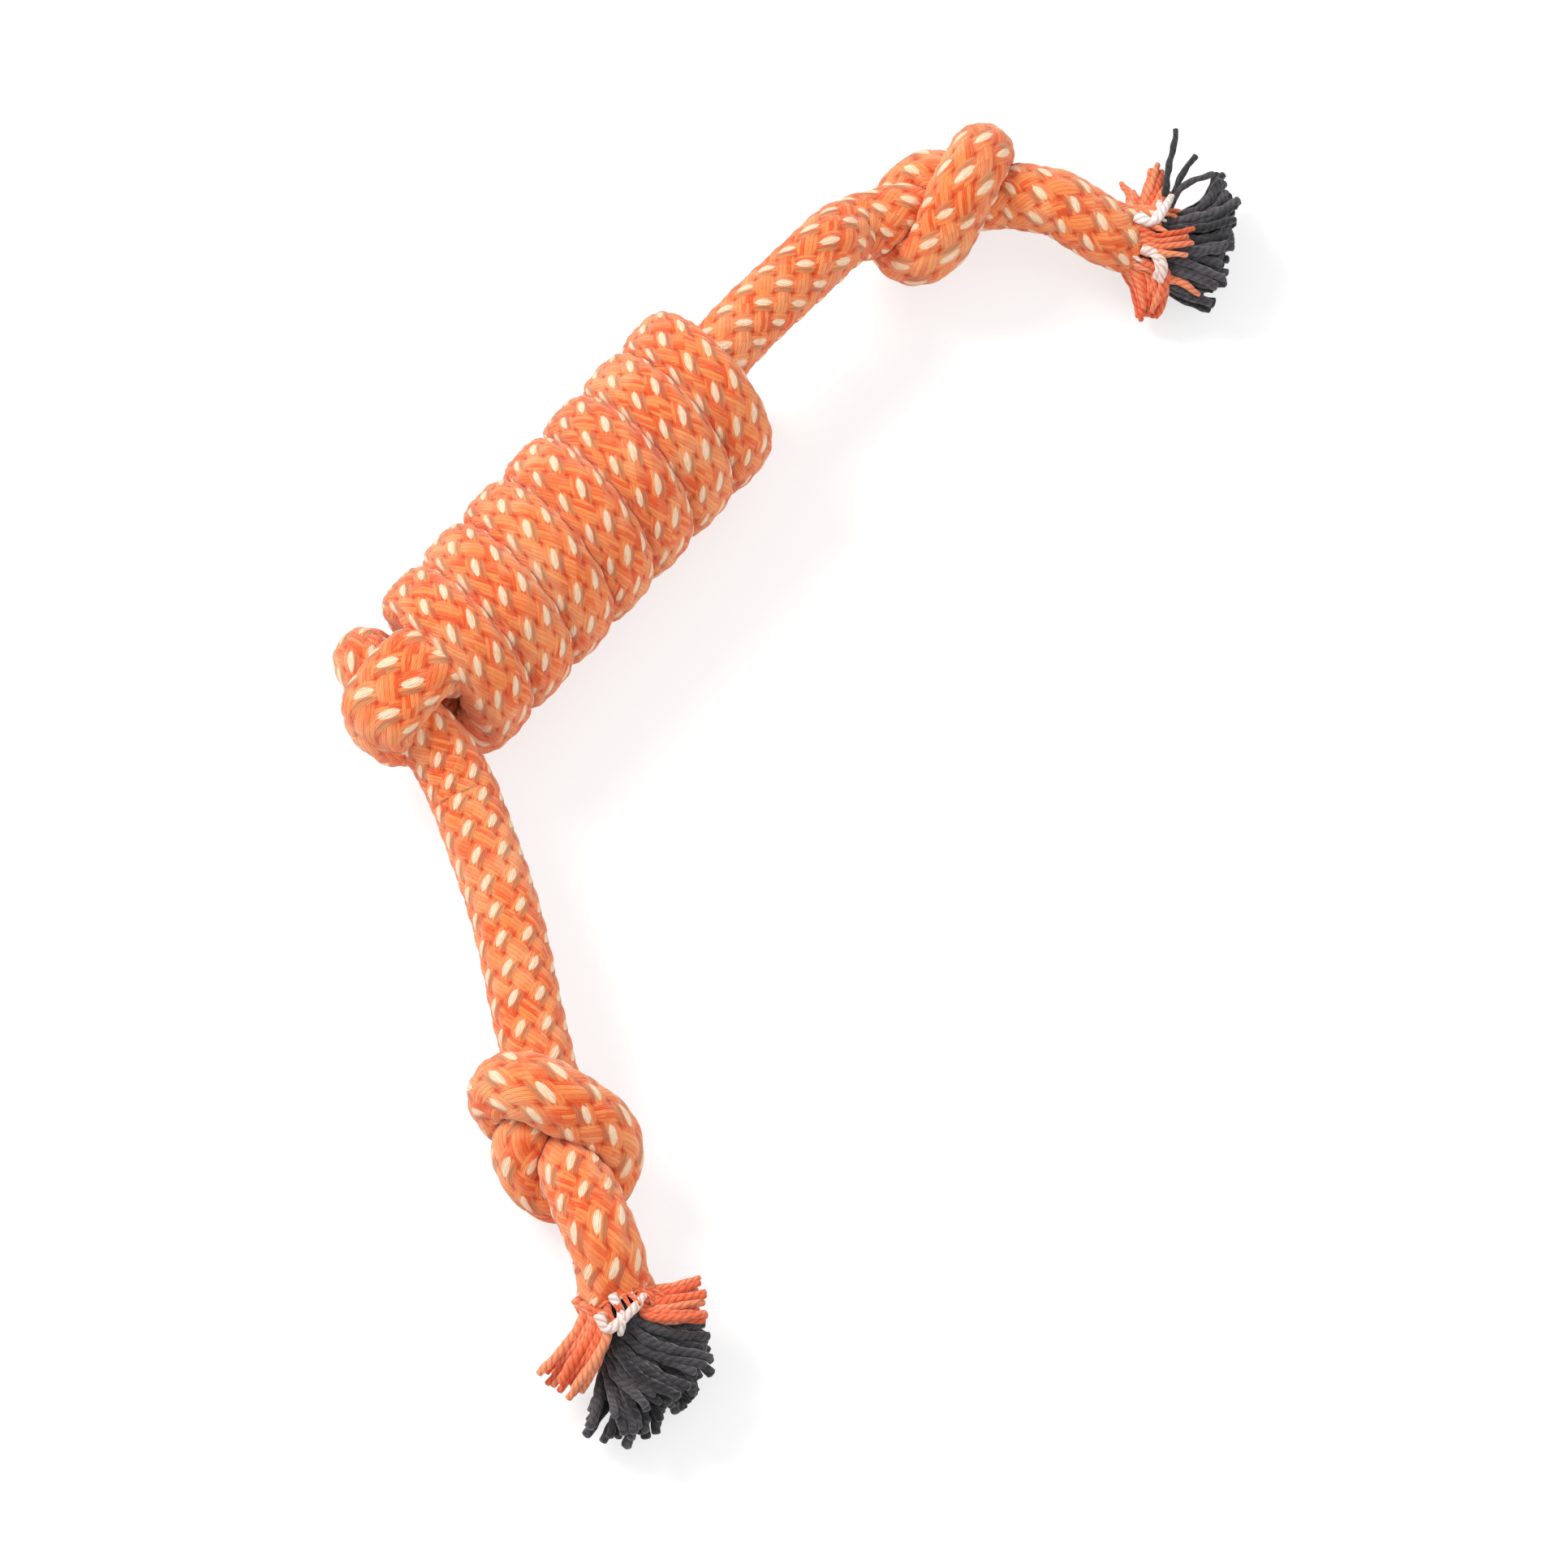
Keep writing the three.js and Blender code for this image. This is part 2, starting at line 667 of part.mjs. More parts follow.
addMesh('winding', makeWinding(), cotton);
addMesh('core_strand_upper', makeUpperStrand(), cotton);
addMesh('core_strand_lower', halfRoundStrand(nearLowerX, farBundleX, -1), cotton);
addMesh('bight', makeBight(), cotton);

// Each leg: how it leaves the bar, where its knot lies and how that is turned and rolled, and
// how its tail runs out. Bearings are in degrees from +X towards +Y.
const legs = {
  near: {
    root: nearPivot,
    neckDegrees: -121,
    legLength: nearLegLength,
    knotDegrees: -127,
    pullDegrees: -122,
    knotRollDegrees: 50,
    tailLength: nearTailLength,
    tailDegrees: -112,
  },
  far: {
    root: farPivot,
    neckDegrees: -4,
    legLength: farLegLength,
    knotDegrees: -16.5,
    pullDegrees: -36,
    knotRollDegrees: 138,
    tailLength: farTailLength,
    tailDegrees: -82,
  },
};

function bearing(degrees) {
  const angle = THREE.MathUtils.degToRad(degrees);
  return new THREE.Vector3(Math.cos(angle), Math.sin(angle), 0);
}

function makeLeg(name, leg) {
  const neckWay = bearing(leg.neckDegrees);
  const liftPivot = leg.root.clone().addScaledVector(neckWay, neckLength);
  const neckEnds = { ball: true, cup: true };
  const neck = sheathAndCore(new THREE.LineCurve3(leg.root, liftPivot), ropeDiameter / 2, neckEnds);

  const knotCentre = liftPivot.clone().addScaledVector(bearing(leg.knotDegrees), leg.legLength);
  const { stations, rings } = placeKnot(knotCentre, leg.pullDegrees, leg.knotRollDegrees);
  const entryWay = stations[0].forward;
  const entry = stations[0].point.clone().addScaledVector(entryWay, -fitGap);
  const bendReach = legBendShare * liftPivot.distanceTo(entry);
  const legCurve = new THREE.CubicBezierCurve3(
    liftPivot,
    liftPivot.clone().addScaledVector(neckWay, bendReach),
    entry.clone().addScaledVector(entryWay, -bendReach),
    entry,
  );
  const shank = sheathAndCore(legCurve, ropeDiameter / 2, { ball: true });

  const knot = makeKnot(rings, `${name} knot`);
  const tailPivot = stations.at(-1).point;

  const tailEnd = tailPivot.clone().addScaledVector(bearing(leg.tailDegrees), leg.tailLength)
    .setZ(ropeRadius + tailClearance);
  const tailWay = new THREE.Vector3().subVectors(tailEnd, tailPivot).normalize();
  const tasselPivot = tailPivot.clone().addScaledVector(tailWay, tailRootLength);
  const tailRoot = new THREE.LineCurve3(tailPivot, tasselPivot);
  const tail = sheathAndCore(tailRoot, ropeDiameter / 2, { ball: true, cup: true });
  const levelRun = tailWay.clone().setZ(0).multiplyScalar(tasselPivot.distanceTo(tailEnd) / 2);
  const bend = tailEnd.clone().sub(levelRun);
  const tassel = makeTassel(new THREE.QuadraticBezierCurve3(tasselPivot, bend, tailEnd));

  addMesh(`${name}_neck_sheath`, neck.sheath, cotton);
  addMesh(`${name}_neck_core`, neck.core, blackYarn);
  addMesh(`${name}_leg_sheath`, shank.sheath, cotton);
  addMesh(`${name}_leg_core`, shank.core, blackYarn);
  addMesh(`${name}_knot`, knot, cotton);
  addMesh(`${name}_tail_sheath`, tail.sheath, cotton);
  addMesh(`${name}_tail_core`, tail.core, blackYarn);
  addMesh(`${name}_fray`, tassel.fray, cotton);
  addMesh(`${name}_brush`, tassel.brush, blackYarn);
}

makeLeg('near', legs.near);
makeLeg('far', legs.far);

export default toy;
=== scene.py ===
"""Rope dog toy: one braided rope wound into a bar, with a knot and a frayed tassel at each end.

Lengths are in mm until a mesh is made. The rope is followed from its far end to its near end.
"""
import json
import math

import bpy
import numpy as np
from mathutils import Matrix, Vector


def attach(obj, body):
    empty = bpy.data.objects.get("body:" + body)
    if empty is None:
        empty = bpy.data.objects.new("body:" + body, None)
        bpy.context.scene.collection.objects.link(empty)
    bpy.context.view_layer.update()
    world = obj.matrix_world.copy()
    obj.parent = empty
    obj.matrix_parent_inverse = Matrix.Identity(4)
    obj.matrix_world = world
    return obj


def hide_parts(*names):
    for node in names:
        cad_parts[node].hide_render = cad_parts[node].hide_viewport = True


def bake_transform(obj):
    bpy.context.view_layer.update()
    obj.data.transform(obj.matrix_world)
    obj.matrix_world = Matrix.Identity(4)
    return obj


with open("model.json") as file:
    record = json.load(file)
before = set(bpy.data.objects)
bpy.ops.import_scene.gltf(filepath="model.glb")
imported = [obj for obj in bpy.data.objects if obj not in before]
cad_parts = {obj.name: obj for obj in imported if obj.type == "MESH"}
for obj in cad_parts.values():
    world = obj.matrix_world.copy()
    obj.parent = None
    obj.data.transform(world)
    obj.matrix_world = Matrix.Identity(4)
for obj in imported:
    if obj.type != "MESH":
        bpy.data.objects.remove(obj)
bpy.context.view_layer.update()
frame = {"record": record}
scene = bpy.context.scene
MM = 0.001
X, Y, Z = np.eye(3)
FULL_TURN = 2 * math.pi

# Camera and lamps, in metres. A lamp's place is told to the right, away and up of the toy.
LOOK_WAY = np.array([0.3011, 0.2491, -0.9205])
LOOK_LEVEL, LOOK_DOWN = 0.39, 0.92
VIEW_RIGHT = np.array([0.6374, -0.7705, 0.0])
VIEW_AWAY = np.array([0.7705, 0.6374, 0.0])
AIM = np.array([-0.0064, -0.0485, 0.008])
DISTANCE = 0.75
LENS = 118
CLIP_NEAR, CLIP_FAR = 0.01, 20
LAMPS = {
    "key": {"place": (-0.75, 0.5, 0.85), "size": 0.5, "watts": 10.6, "colour": (1, 0.985, 0.96)},
    "fill": {"place": (0.8, -0.3, 0.9), "size": 1.0, "watts": 3.0, "colour": (0.96, 0.98, 1)},
}
WORLD_STRENGTH = 0.66


def turn_towards(obj, way):
    obj.rotation_mode = "QUATERNION"
    obj.rotation_quaternion = Vector(way).to_track_quat("-Z", "Y")


def add_camera():
    camera = bpy.data.objects.new("camera", bpy.data.cameras.new("camera"))
    scene.collection.objects.link(camera)
    camera.location = AIM - LOOK_WAY * DISTANCE
    turn_towards(camera, LOOK_WAY)
    camera.data.lens = LENS
    camera.data.clip_start = CLIP_NEAR
    camera.data.clip_end = CLIP_FAR
    scene.camera = camera
    scene.view_settings.view_transform = "Standard"


def add_lamp(name, place, size, watts, colour):
    """A round lamp that shines at the toy."""
    right, away, up = place
    offset = VIEW_RIGHT * right + VIEW_AWAY * away + Z * up
    lamp = bpy.data.lights.new(name, "AREA")
    lamp.shape = "DISK"
    lamp.size = size
    lamp.energy = watts
    lamp.color = colour
    obj = bpy.data.objects.new(name, lamp)
    scene.collection.objects.link(obj)
    obj.location = AIM + offset
    turn_towards(obj, -offset)


def add_world():
    scene.world = bpy.data.worlds.new("studio")
    scene.world.use_nodes = True
    background = scene.world.node_tree.nodes["Background"]
    background.inputs["Color"].default_value = (1, 1, 1, 1)
    background.inputs["Strength"].default_value = WORLD_STRENGTH


add_camera()
for lamp_name, lamp_facts in LAMPS.items():
    add_lamp(lamp_name, **lamp_facts)
add_world()


def srgb(red, green, blue):
    """A colour as it is seen, 0 to 255, as the linear values that a shader takes."""
    values = [v / 255 for v in (red, green, blue)]
    return tuple(v / 12.92 if v <= 0.04045 else ((v + 0.055) / 1.055) ** 2.4 for v in values) + (1.0,)


def seen(right, up, height=0.0):
    """An offset that is seen `right` and `up` in the main view, lying at a height over the floor."""
    return VIEW_RIGHT * right + VIEW_AWAY * (up - LOOK_LEVEL * height) / LOOK_DOWN + Z * height


class Nodes:
    """A short way to write a node tree: sockets and numbers go in, a socket comes out."""

    def __init__(self, name):
        self.material = bpy.data.materials.new(name)
        self.material.use_nodes = True
        self.tree = self.material.node_tree
        self.shader = self.tree.nodes["Principled BSDF"]

    def put(self, value, socket):
        if isinstance(value, bpy.types.NodeSocket):
            self.tree.links.new(value, socket)
        else:
            socket.default_value = value

    def make(self, kind, inputs, output=0, **settings):
        """A new node's output. Its inputs are told by name or by place."""
        node = self.tree.nodes.new(kind)
        for name, value in settings.items():
            setattr(node, name, value)
        for key, value in inputs.items():
            self.put(value, node.inputs[key])
        return node.outputs[output]

    def math(self, operation, *values):
        return self.make("ShaderNodeMath", dict(enumerate(values)), operation=operation)

    def times(self, one, other):
        return self.math("MULTIPLY", one, other)

    def scaled(self, value, scale, start):
        return self.math("MULTIPLY_ADD", value, scale, start)

    def wave(self, turns):
        """A wave from 0 to 1 that comes back once in each turn."""
        return self.scaled(self.math("SINE", self.times(turns, FULL_TURN)), 0.5, 0.5)

    def mix(self, share, one, other):
        return self.make("ShaderNodeMix", {0: share, 2: one, 3: other}, data_type="FLOAT")

    def mix_colour(self, share, one, other, kind="MIX"):
        inputs = {0: share, 6: one, 7: other}
        return self.make("ShaderNodeMix", inputs, 2, data_type="RGBA", blend_type=kind)

    def step(self, value, low, high):
        inputs = {0: value, 1: low, 2: high}
        return self.make("ShaderNodeMapRange", inputs, interpolation_type="SMOOTHSTEP")

    def vector(self, *parts):
        return self.make("ShaderNodeCombineXYZ", dict(enumerate(parts)))

    def noise(self, vector, scale, detail):
        inputs = {"Vector": vector, "Scale": scale, "Detail": detail}
        return self.make("ShaderNodeTexNoise", inputs, noise_dimensions="3D")

    def speckle(self, vector):
        return self.make("ShaderNodeTexWhiteNoise", {"Vector": vector}, noise_dimensions="3D")

    def uv(self, name):
        both = self.make("ShaderNodeUVMap", {}, uv_map=name)
        return tuple(self.make("ShaderNodeSeparateXYZ", {0: both}, part) for part in (0, 1))

    def place(self):
        return self.make("ShaderNodeTexCoord", {}, "Object")

    def attribute(self, name):
        return self.make("ShaderNodeAttribute", {}, "Fac", attribute_name=name)

    def bump(self, height, depth):
        inputs = {"Strength": 1.0, "Distance": depth * MM, "Height": height}
        self.put(self.make("ShaderNodeBump", inputs), self.shader.inputs["Normal"])

    def surface(self, settings):
        for name, value in settings.items():
            self.shader.inputs[name].default_value = value


# The braid. Its yarns run round the rope both ways, and a place on the skin is told by two
# counts of yarns, one for each way. OTHER_WAY keeps the two ways' yarn numbers apart.
BRAID_YARNS = 8
BRAID_LAY = 36.0
WOUND_LAY = 34.0
WAVE_HEIGHT = 0.24
YARN_CROWN = 0.5
CROWN_ROUND = 0.92
OTHER_WAY = 41.0
THREADS = 5
THREAD_ROUND = 3.6
THREAD_SLANT, THREAD_TWISTS = 2.2, 3.0
FIBRES_ACROSS, FIBRES_ALONG = 9.0, 2.4
PATCHES_PER_METRE = 160.0
CREAM_HALF_SHARE = 0.18
CREAM_LENGTH_SHARE = 0.88
CREAM_ROUGHNESS = 0.08
GREY_PLACE_SHARE = -0.62
GREY_HALF_SHARE = 0.13
BRAID_BUMP = 0.22
BRAID_RELIEF = {"thread": 0.5, "twist": 0.22, "fibres": 0.3}
BRAID_SURFACE = {"Roughness": 0.86, "Sheen Weight": 0.5, "Sheen Roughness": 0.5,
                 "Sheen Tint": (1, 0.86, 0.72, 1), "Specular IOR Level": 0.25}
# The darkest orange and the darker cream are painted shade, laid where the braid lies low and at the threads'
# sides.
BRAID_COLOURS = {
    "painted shade": srgb(214, 68, 20), "base": srgb(240, 88, 30), "middle": srgb(254, 142, 76),
    "light": srgb(255, 190, 134), "grey": srgb(150, 118, 92), "cream": srgb(252, 204, 158),
    "pale cream": srgb(255, 232, 206), "shaded cream": srgb(244, 150, 92),
}
# Where each soft change of the braid's colour starts and ends, and how strong four of them are
# The changes at the grooves, at the threads' sides and on low-lying cream are painted shade.
EDGES = {
    "tone": (0.05, 0.75), "patches": (0.42, 0.7), "fibres": (0.5, 0.8), "groove shade": (-0.28, 0.02),
    "thread": (0.3, 0.75), "cream": (-0.035, 0.045), "grey": (-0.09, 0.07),
    "pale cream": (0.3, 0.7), "shaded cream": (-0.2, 0.12),
}
STRENGTHS = {"patches": 0.45, "fibres": 0.5, "thread": 0.55, "grey": 0.5}


def crown(across):
    """How far a yarn's round falls from its middle to a place across it, -1 to 1."""
    return YARN_CROWN * (1 - np.sqrt(1 - CROWN_ROUND * across ** 2))


def braid_height(right, left):
    """The height of the braid's surface over the two counts of yarns round the rope."""
    across_right = 2 * (right - np.floor(right)) - 1
    across_left = 2 * (left - np.floor(left)) - 1
    wave_right = WAVE_HEIGHT * np.cos(math.pi * (left - 0.5 + np.floor(right)))
    wave_left = -WAVE_HEIGHT * np.cos(math.pi * (right - 0.5 + np.floor(left)))
    return np.maximum(wave_right - crown(across_right), wave_left - crown(across_left))


def yarn_height(n, along, floor, across, sign):
    """The height of one of the two yarns at a place, as braid_height has it, for the shader."""
    turn = n.times(n.math("ADD", n.math("SUBTRACT", along, 0.5), floor), math.pi)
    wave = n.times(n.math("COSINE", turn), sign * WAVE_HEIGHT)
    inside = n.scaled(n.times(across, across), -CROWN_ROUND, 1.0)
    return n.math("SUBTRACT", wave, n.scaled(n.math("SQRT", inside), -YARN_CROWN, YARN_CROWN))


def fleck(n, on_top, beside, half, edge):
    """Where a fleck lies on a yarn that is on top: nearer to the fleck's middle than its half width."""
    inside = n.math("SUBTRACT", half, n.times(n.math("ABSOLUTE", beside), 0.5))
    return n.times(on_top, n.step(inside, *EDGES[edge]))


def braid_material():
    n = Nodes("braided_sheath")
    right, left = n.uv("braid")
    floor_right, floor_left = n.math("FLOOR", right), n.math("FLOOR", left)
    across_right = n.scaled(n.math("FRACT", right), 2.0, -1.0)
    across_left = n.scaled(n.math("FRACT", left), 2.0, -1.0)
    high_right = yarn_height(n, left, floor_right, across_right, 1)
    high_left = yarn_height(n, right, floor_left, across_left, -1)
    on_top = n.math("GREATER_THAN", high_right, high_left)
    height = n.math("MAXIMUM", high_right, high_left)
    across = n.mix(on_top, across_left, across_right)
    along = n.mix(on_top, right, left)
    yarn = n.mix(on_top, n.math("ADD", floor_left, OTHER_WAY), floor_right)

    thread_place = n.times(across, THREADS / 2)
    thread = n.math("ROUND", thread_place)
    thread_across = n.math("SUBTRACT", thread_place, thread)
    rounded = n.math("SQRT", n.scaled(n.times(thread_across, thread_across), -THREAD_ROUND, 1.0))
    twist = n.wave(n.scaled(thread_across, THREAD_SLANT, n.times(along, THREAD_TWISTS)))
    crossing = n.math("FLOOR", n.scaled(along, 0.5, 0.25))
    tone = n.speckle(n.vector(thread, yarn, crossing))
    over_fibres = n.vector(n.times(across, FIBRES_ACROSS), n.times(along, FIBRES_ALONG), yarn)
    fibres = n.noise(over_fibres, 1.0, 3.0)
    patches = n.noise(n.place(), PATCHES_PER_METRE, 2.0)

    colours = BRAID_COLOURS
    orange = n.mix_colour(n.step(tone, *EDGES["tone"]), colours["base"], colours["middle"])
    for mottle, name in ((patches, "patches"), (fibres, "fibres")):
        share = n.times(n.step(mottle, *EDGES[name]), STRENGTHS[name])
        orange = n.mix_colour(share, orange, colours["light"])
    # Painted shade: the braid darkens to its darkest orange where its surface lies low between the yarns.
    orange = n.mix_colour(n.step(height, *EDGES["groove shade"]), colours["painted shade"], orange)
    # Painted shade: each thread darkens towards its sides, where it meets the next thread.
    shade = n.scaled(n.step(rounded, *EDGES["thread"]), -STRENGTHS["thread"], STRENGTHS["thread"])
    orange = n.mix_colour(shade, orange, colours["painted shade"])

    inside = n.scaled(n.times(across_left, across_left), -1 / CREAM_LENGTH_SHARE ** 2, 1.0)
    grain = n.math("SQRT", n.math("MAXIMUM", inside, 0.0))
    rough = n.math("SUBTRACT", fibres, 0.5)
    cream_half = n.scaled(rough, CREAM_ROUGHNESS, n.times(grain, CREAM_HALF_SHARE))
    beside_grey = n.math("SUBTRACT", across_right, GREY_PLACE_SHARE)
    grey_share = fleck(n, on_top, beside_grey, n.times(grain, GREY_HALF_SHARE), "grey")
    orange = n.mix_colour(n.times(grey_share, STRENGTHS["grey"]), orange, colours["grey"])
    cream = n.mix_colour(n.step(fibres, *EDGES["pale cream"]), colours["cream"], colours["pale cream"])
    # Painted shade: cream flecks turn a darker, oranger cream where the braid lies low.
    cream = n.mix_colour(n.step(height, *EDGES["shaded cream"]), colours["shaded cream"], cream)
    cream_share = fleck(n, on_top, across_right, cream_half, "cream")
    n.put(n.mix_colour(cream_share, orange, cream), n.shader.inputs["Base Color"])

    relief = n.scaled(rounded, BRAID_RELIEF["thread"], n.times(twist, BRAID_RELIEF["twist"]))
    n.bump(n.scaled(fibres, BRAID_RELIEF["fibres"], relief), BRAID_BUMP)
    n.surface(BRAID_SURFACE)
    return n.material


# A loose yarn: plies twisted round each other, with fibres along them
PLIES, PLY_TURNS = 3.0, 0.9
YARN_FIBRES_ALONG, YARN_FIBRES_ROUND, YARN_FIBRES_APART = 1.1, 26.0, 40.0
YARN_MOTTLE = {"fibres": 0.7, "tone": 0.45}
YARN_EDGE, PLY_EDGE = (0.2, 0.95), (0.0, 0.55)
# PLY_SHADE is painted shade for the grooves between the plies.
PLY_SHADE = (0.72, 0.6, 0.57, 1)
YARN_BUMP = 0.18
YARN_RELIEF = {"ply": 0.4, "fibres": 0.6}
YARN_SURFACE = {"Roughness": 0.88, "Sheen Weight": 0.3, "Sheen Roughness": 0.5,
                "Specular IOR Level": 0.25}


def yarn_material(name, colours, pale_colours=None):
    """A loose yarn's looks, between two colours, with two more for the yarns of the pale kind."""
    n = Nodes(name)
    along, around = n.uv("yarn")
    tone = n.attribute("tone")
    ply = n.wave(n.scaled(around, PLIES, n.times(along, PLY_TURNS)))
    over_fibres = n.vector(n.times(along, YARN_FIBRES_ALONG), n.times(around, YARN_FIBRES_ROUND),
                           n.times(tone, YARN_FIBRES_APART))
    fibres = n.noise(over_fibres, 1.0, 3.0)
    mottle = n.scaled(fibres, YARN_MOTTLE["fibres"], n.times(tone, YARN_MOTTLE["tone"]))
    share = n.step(mottle, *YARN_EDGE)
    colour = n.mix_colour(share, *colours)
    if pale_colours:
        colour = n.mix_colour(n.attribute("pale"), colour, n.mix_colour(share, *pale_colours))
    # Painted shade: the colour darkened in the grooves between the plies.
    dim = n.mix_colour(1.0, colour, PLY_SHADE, "MULTIPLY")
    n.put(n.mix_colour(n.step(ply, *PLY_EDGE), dim, colour), n.shader.inputs["Base Color"])
    relief = n.math("ADD", n.times(ply, YARN_RELIEF["ply"]), n.times(fibres, YARN_RELIEF["fibres"]))
    n.bump(relief, YARN_BUMP)
    n.surface(YARN_SURFACE)
    return n.material


# The floor, a white sheet that is brightened only where it is seen directly, in metres
FLOOR_REACH, FLOOR_DEPTH = 3.0, 0.0001
FLOOR_SPOTS = 30.0
FLOOR_SHARE, FLOOR_LIFT = 0.4, 0.68
FLOOR_SURFACE = {"Roughness": 0.9, "Specular IOR Level": 0.1, "Emission Color": (1, 1, 1, 1)}


def floor_material():
    n = Nodes("pale_floor")
    spots = n.noise(n.place(), FLOOR_SPOTS, 2.0)
    pale = n.mix_colour(spots, srgb(250, 250, 250), srgb(246, 246, 246))
    seen_direct = n.make("ShaderNodeLightPath", {}, "Is Camera Ray")
    dimmer = n.mix_colour(1.0, pale, (FLOOR_SHARE, FLOOR_SHARE, FLOOR_SHARE, 1), "MULTIPLY")
    n.put(n.mix_colour(seen_direct, pale, dimmer), n.shader.inputs["Base Color"])
    n.surface(FLOOR_SURFACE)
    n.put(n.times(seen_direct, FLOOR_LIFT), n.shader.inputs["Emission Strength"])
    return n.material


def add_floor():
    floor = bpy.data.objects.new("floor", bpy.data.meshes.new("floor"))
    scene.collection.objects.link(floor)
    corners = [(x * FLOOR_REACH, y * FLOOR_REACH, 0) for x, y in ((-1, -1), (1, -1), (1, 1), (-1, 1))]
    floor.data.from_pydata(corners, [], [(0, 1, 2, 3)])
    floor.data.materials.append(floor_material())
    floor.location.z = -FLOOR_DEPTH


braid = braid_material()
sheath_yarn = yarn_material("frayed_yarn", (srgb(238, 92, 46), srgb(255, 166, 120)),
                            (srgb(246, 220, 208), srgb(255, 250, 246)))
core_yarn = yarn_material("core_yarn", (srgb(26, 26, 29), srgb(92, 90, 95)))
add_floor()


def unit(vectors):
    return vectors / np.linalg.norm(vectors, axis=-1, keepdims=True)


def smoothstep(x, a, b):
    t = np.clip((np.asarray(x, float) - a) / (b - a), 0, 1)
    return t * t * (3 - 2 * t)


def catmull(points, steps):
    """The smooth curve through points that the CAD's routes follow (centripetal Catmull-Rom)."""
    p = np.array(points, float)
    p = np.vstack([2 * p[0] - p[1], p, 2 * p[-1] - p[-2]])
    out = []
    for a, b, c, d in zip(p[:-3], p[1:-2], p[2:-1], p[3:]):
        t0, t1, t2 = (math.sqrt(np.linalg.norm(v)) for v in (b - a, c - b, d - c))
        m1 = ((b - a) / t0 - (c - a) / (t0 + t1) + (c - b) / t1) * t1
        m2 = ((c - b) / t1 - (d - b) / (t1 + t2) + (d - c) / t2) * t1
        t = np.linspace(0, 1, steps, endpoint=False)[:, None]
        out.append(b + m1 * t + (-3 * b + 3 * c - 2 * m1 - m2) * t ** 2 + (2 * b - 2 * c + m1 + m2) * t ** 3)
    return np.vstack(out + [p[-2]])


def bezier(*controls, steps=60):
    t = np.linspace(0, 1, steps)[:, None]
    layers = [np.broadcast_to(control, (steps, 3)) for control in controls]
    while len(layers) > 1:
        layers = [a * (1 - t) + b * t for a, b in zip(layers, layers[1:])]
    return layers[0]


def distances(points):
    return np.concatenate([[0], np.cumsum(np.linalg.norm(np.diff(points, axis=0), axis=1))])


def resample(points, spacing, *others):
    """Evenly spaced points along a line, and other columns read at the same places."""
    along = distances(points)
    count = max(2, round(along[-1] / spacing) + 1)
    at = np.linspace(0, along[-1], count)
    rows = []
    for column in (points, *others):
        column = np.array(column, float)
        read = [np.interp(at, along, part) for part in np.atleast_2d(column.T)]
        rows.append(read[0] if column.ndim == 1 else np.stack(read, 1))
    return rows


def smoothed(values, width, least=0.3):
    """Values averaged along their first axis with a bell of that many samples, the ends kept."""
    width = np.broadcast_to(np.asarray(width, float), (len(values),))
    out = np.array(values, float)
    index = np.arange(len(values))
    for i in np.flatnonzero(width > least):
        far = min(int(3 * width[i]) + 1, i, len(values) - 1 - i)
        if far > 0:
            near = index[i - far:i + far + 1]
            weights = np.exp(-0.5 * ((near - i) / width[i]) ** 2)
            out[i] = np.tensordot(weights / weights.sum(), values[near], 1)
    return out


# The sizes that the solids have
ROPE_RADIUS = 5.0
TURNS, PITCH, ORIGIN_TURN = 7, 9.1, 4
TURN_WIDTH, TURN_THICKNESS, BUNDLE_RADIUS, FIT_GAP = 8.5, 8.5, 5.0, 0.3
BAR_FLAT = 1.0
WINDING_RADIUS = BUNDLE_RADIUS + FIT_GAP + TURN_THICKNESS / 2
AXIS_HEIGHT = WINDING_RADIUS + TURN_THICKNESS / 2 - BAR_FLAT
TUCK_WIDTH, TUCK_HEIGHT, BIGHT_THICKNESS = 7.0, 8.0, 3.6
KNOT_SPACING, KNOT_IN, KNOT_OUT = 7.6, 13.6, 18.8
HELIX_FROM = 0.125 - ORIGIN_TURN
HELIX_TO = TURNS - ORIGIN_TURN + 0.06
FAR_TURN_X = -PITCH * HELIX_FROM
LAST_TURN_X = -PITCH * (TURNS - ORIGIN_TURN)
FAR_LEG_X = FAR_TURN_X + TURN_WIDTH / 3

# The elbow's route: share of a turn's width along the bar, share of the winding's radius, degrees.
ELBOW_SHARES = ((-0.24, 0.55, -112), (-0.12, 0.55, -112), (0.11, 0.62, -107), (0.22, 0.8, -92),
                (0.22, 0.96, -70))
# The tuck's route: share of a turn's width along the bar, shares of the winding's radius.
TUCK_SHARES = ((-0.16, 0.62, -0.83), (-0.28, 0.97, -0.43), (-0.51, 1.04, 0.03), (-0.76, 0.8, 0.34),
               (-0.94, 0.44, 0.43), (-0.99, 0.06, 0.43), (-1, -0.36, 0.39), (-1.05, -0.77, 0.27),
               (-1.18, -1.21, 0.12), (-1.42, -1.7, 0))
UNDER_BIGHT = 5

# The knot before it is pulled, by formula, and how it is pulled, in spacings of its strands.
KNOT_POINTS, KNOT_LENGTH, KNOT_PULLED, KNOT_BEND = 61, 20, 10.1, 0.6
KNOT_TURN, KNOT_WIDE, KNOT_HIGH, KNOT_DEEP, KNOT_FIFTH = 2.2, 0.5, 0.32, 0.82, 0.2
PULL_ROUNDS, HOLD_ROUNDS, EVEN_ROUNDS = 1500, 300, 4
NEAR_EVERY, NEAR_WITHIN = 10, 1.35

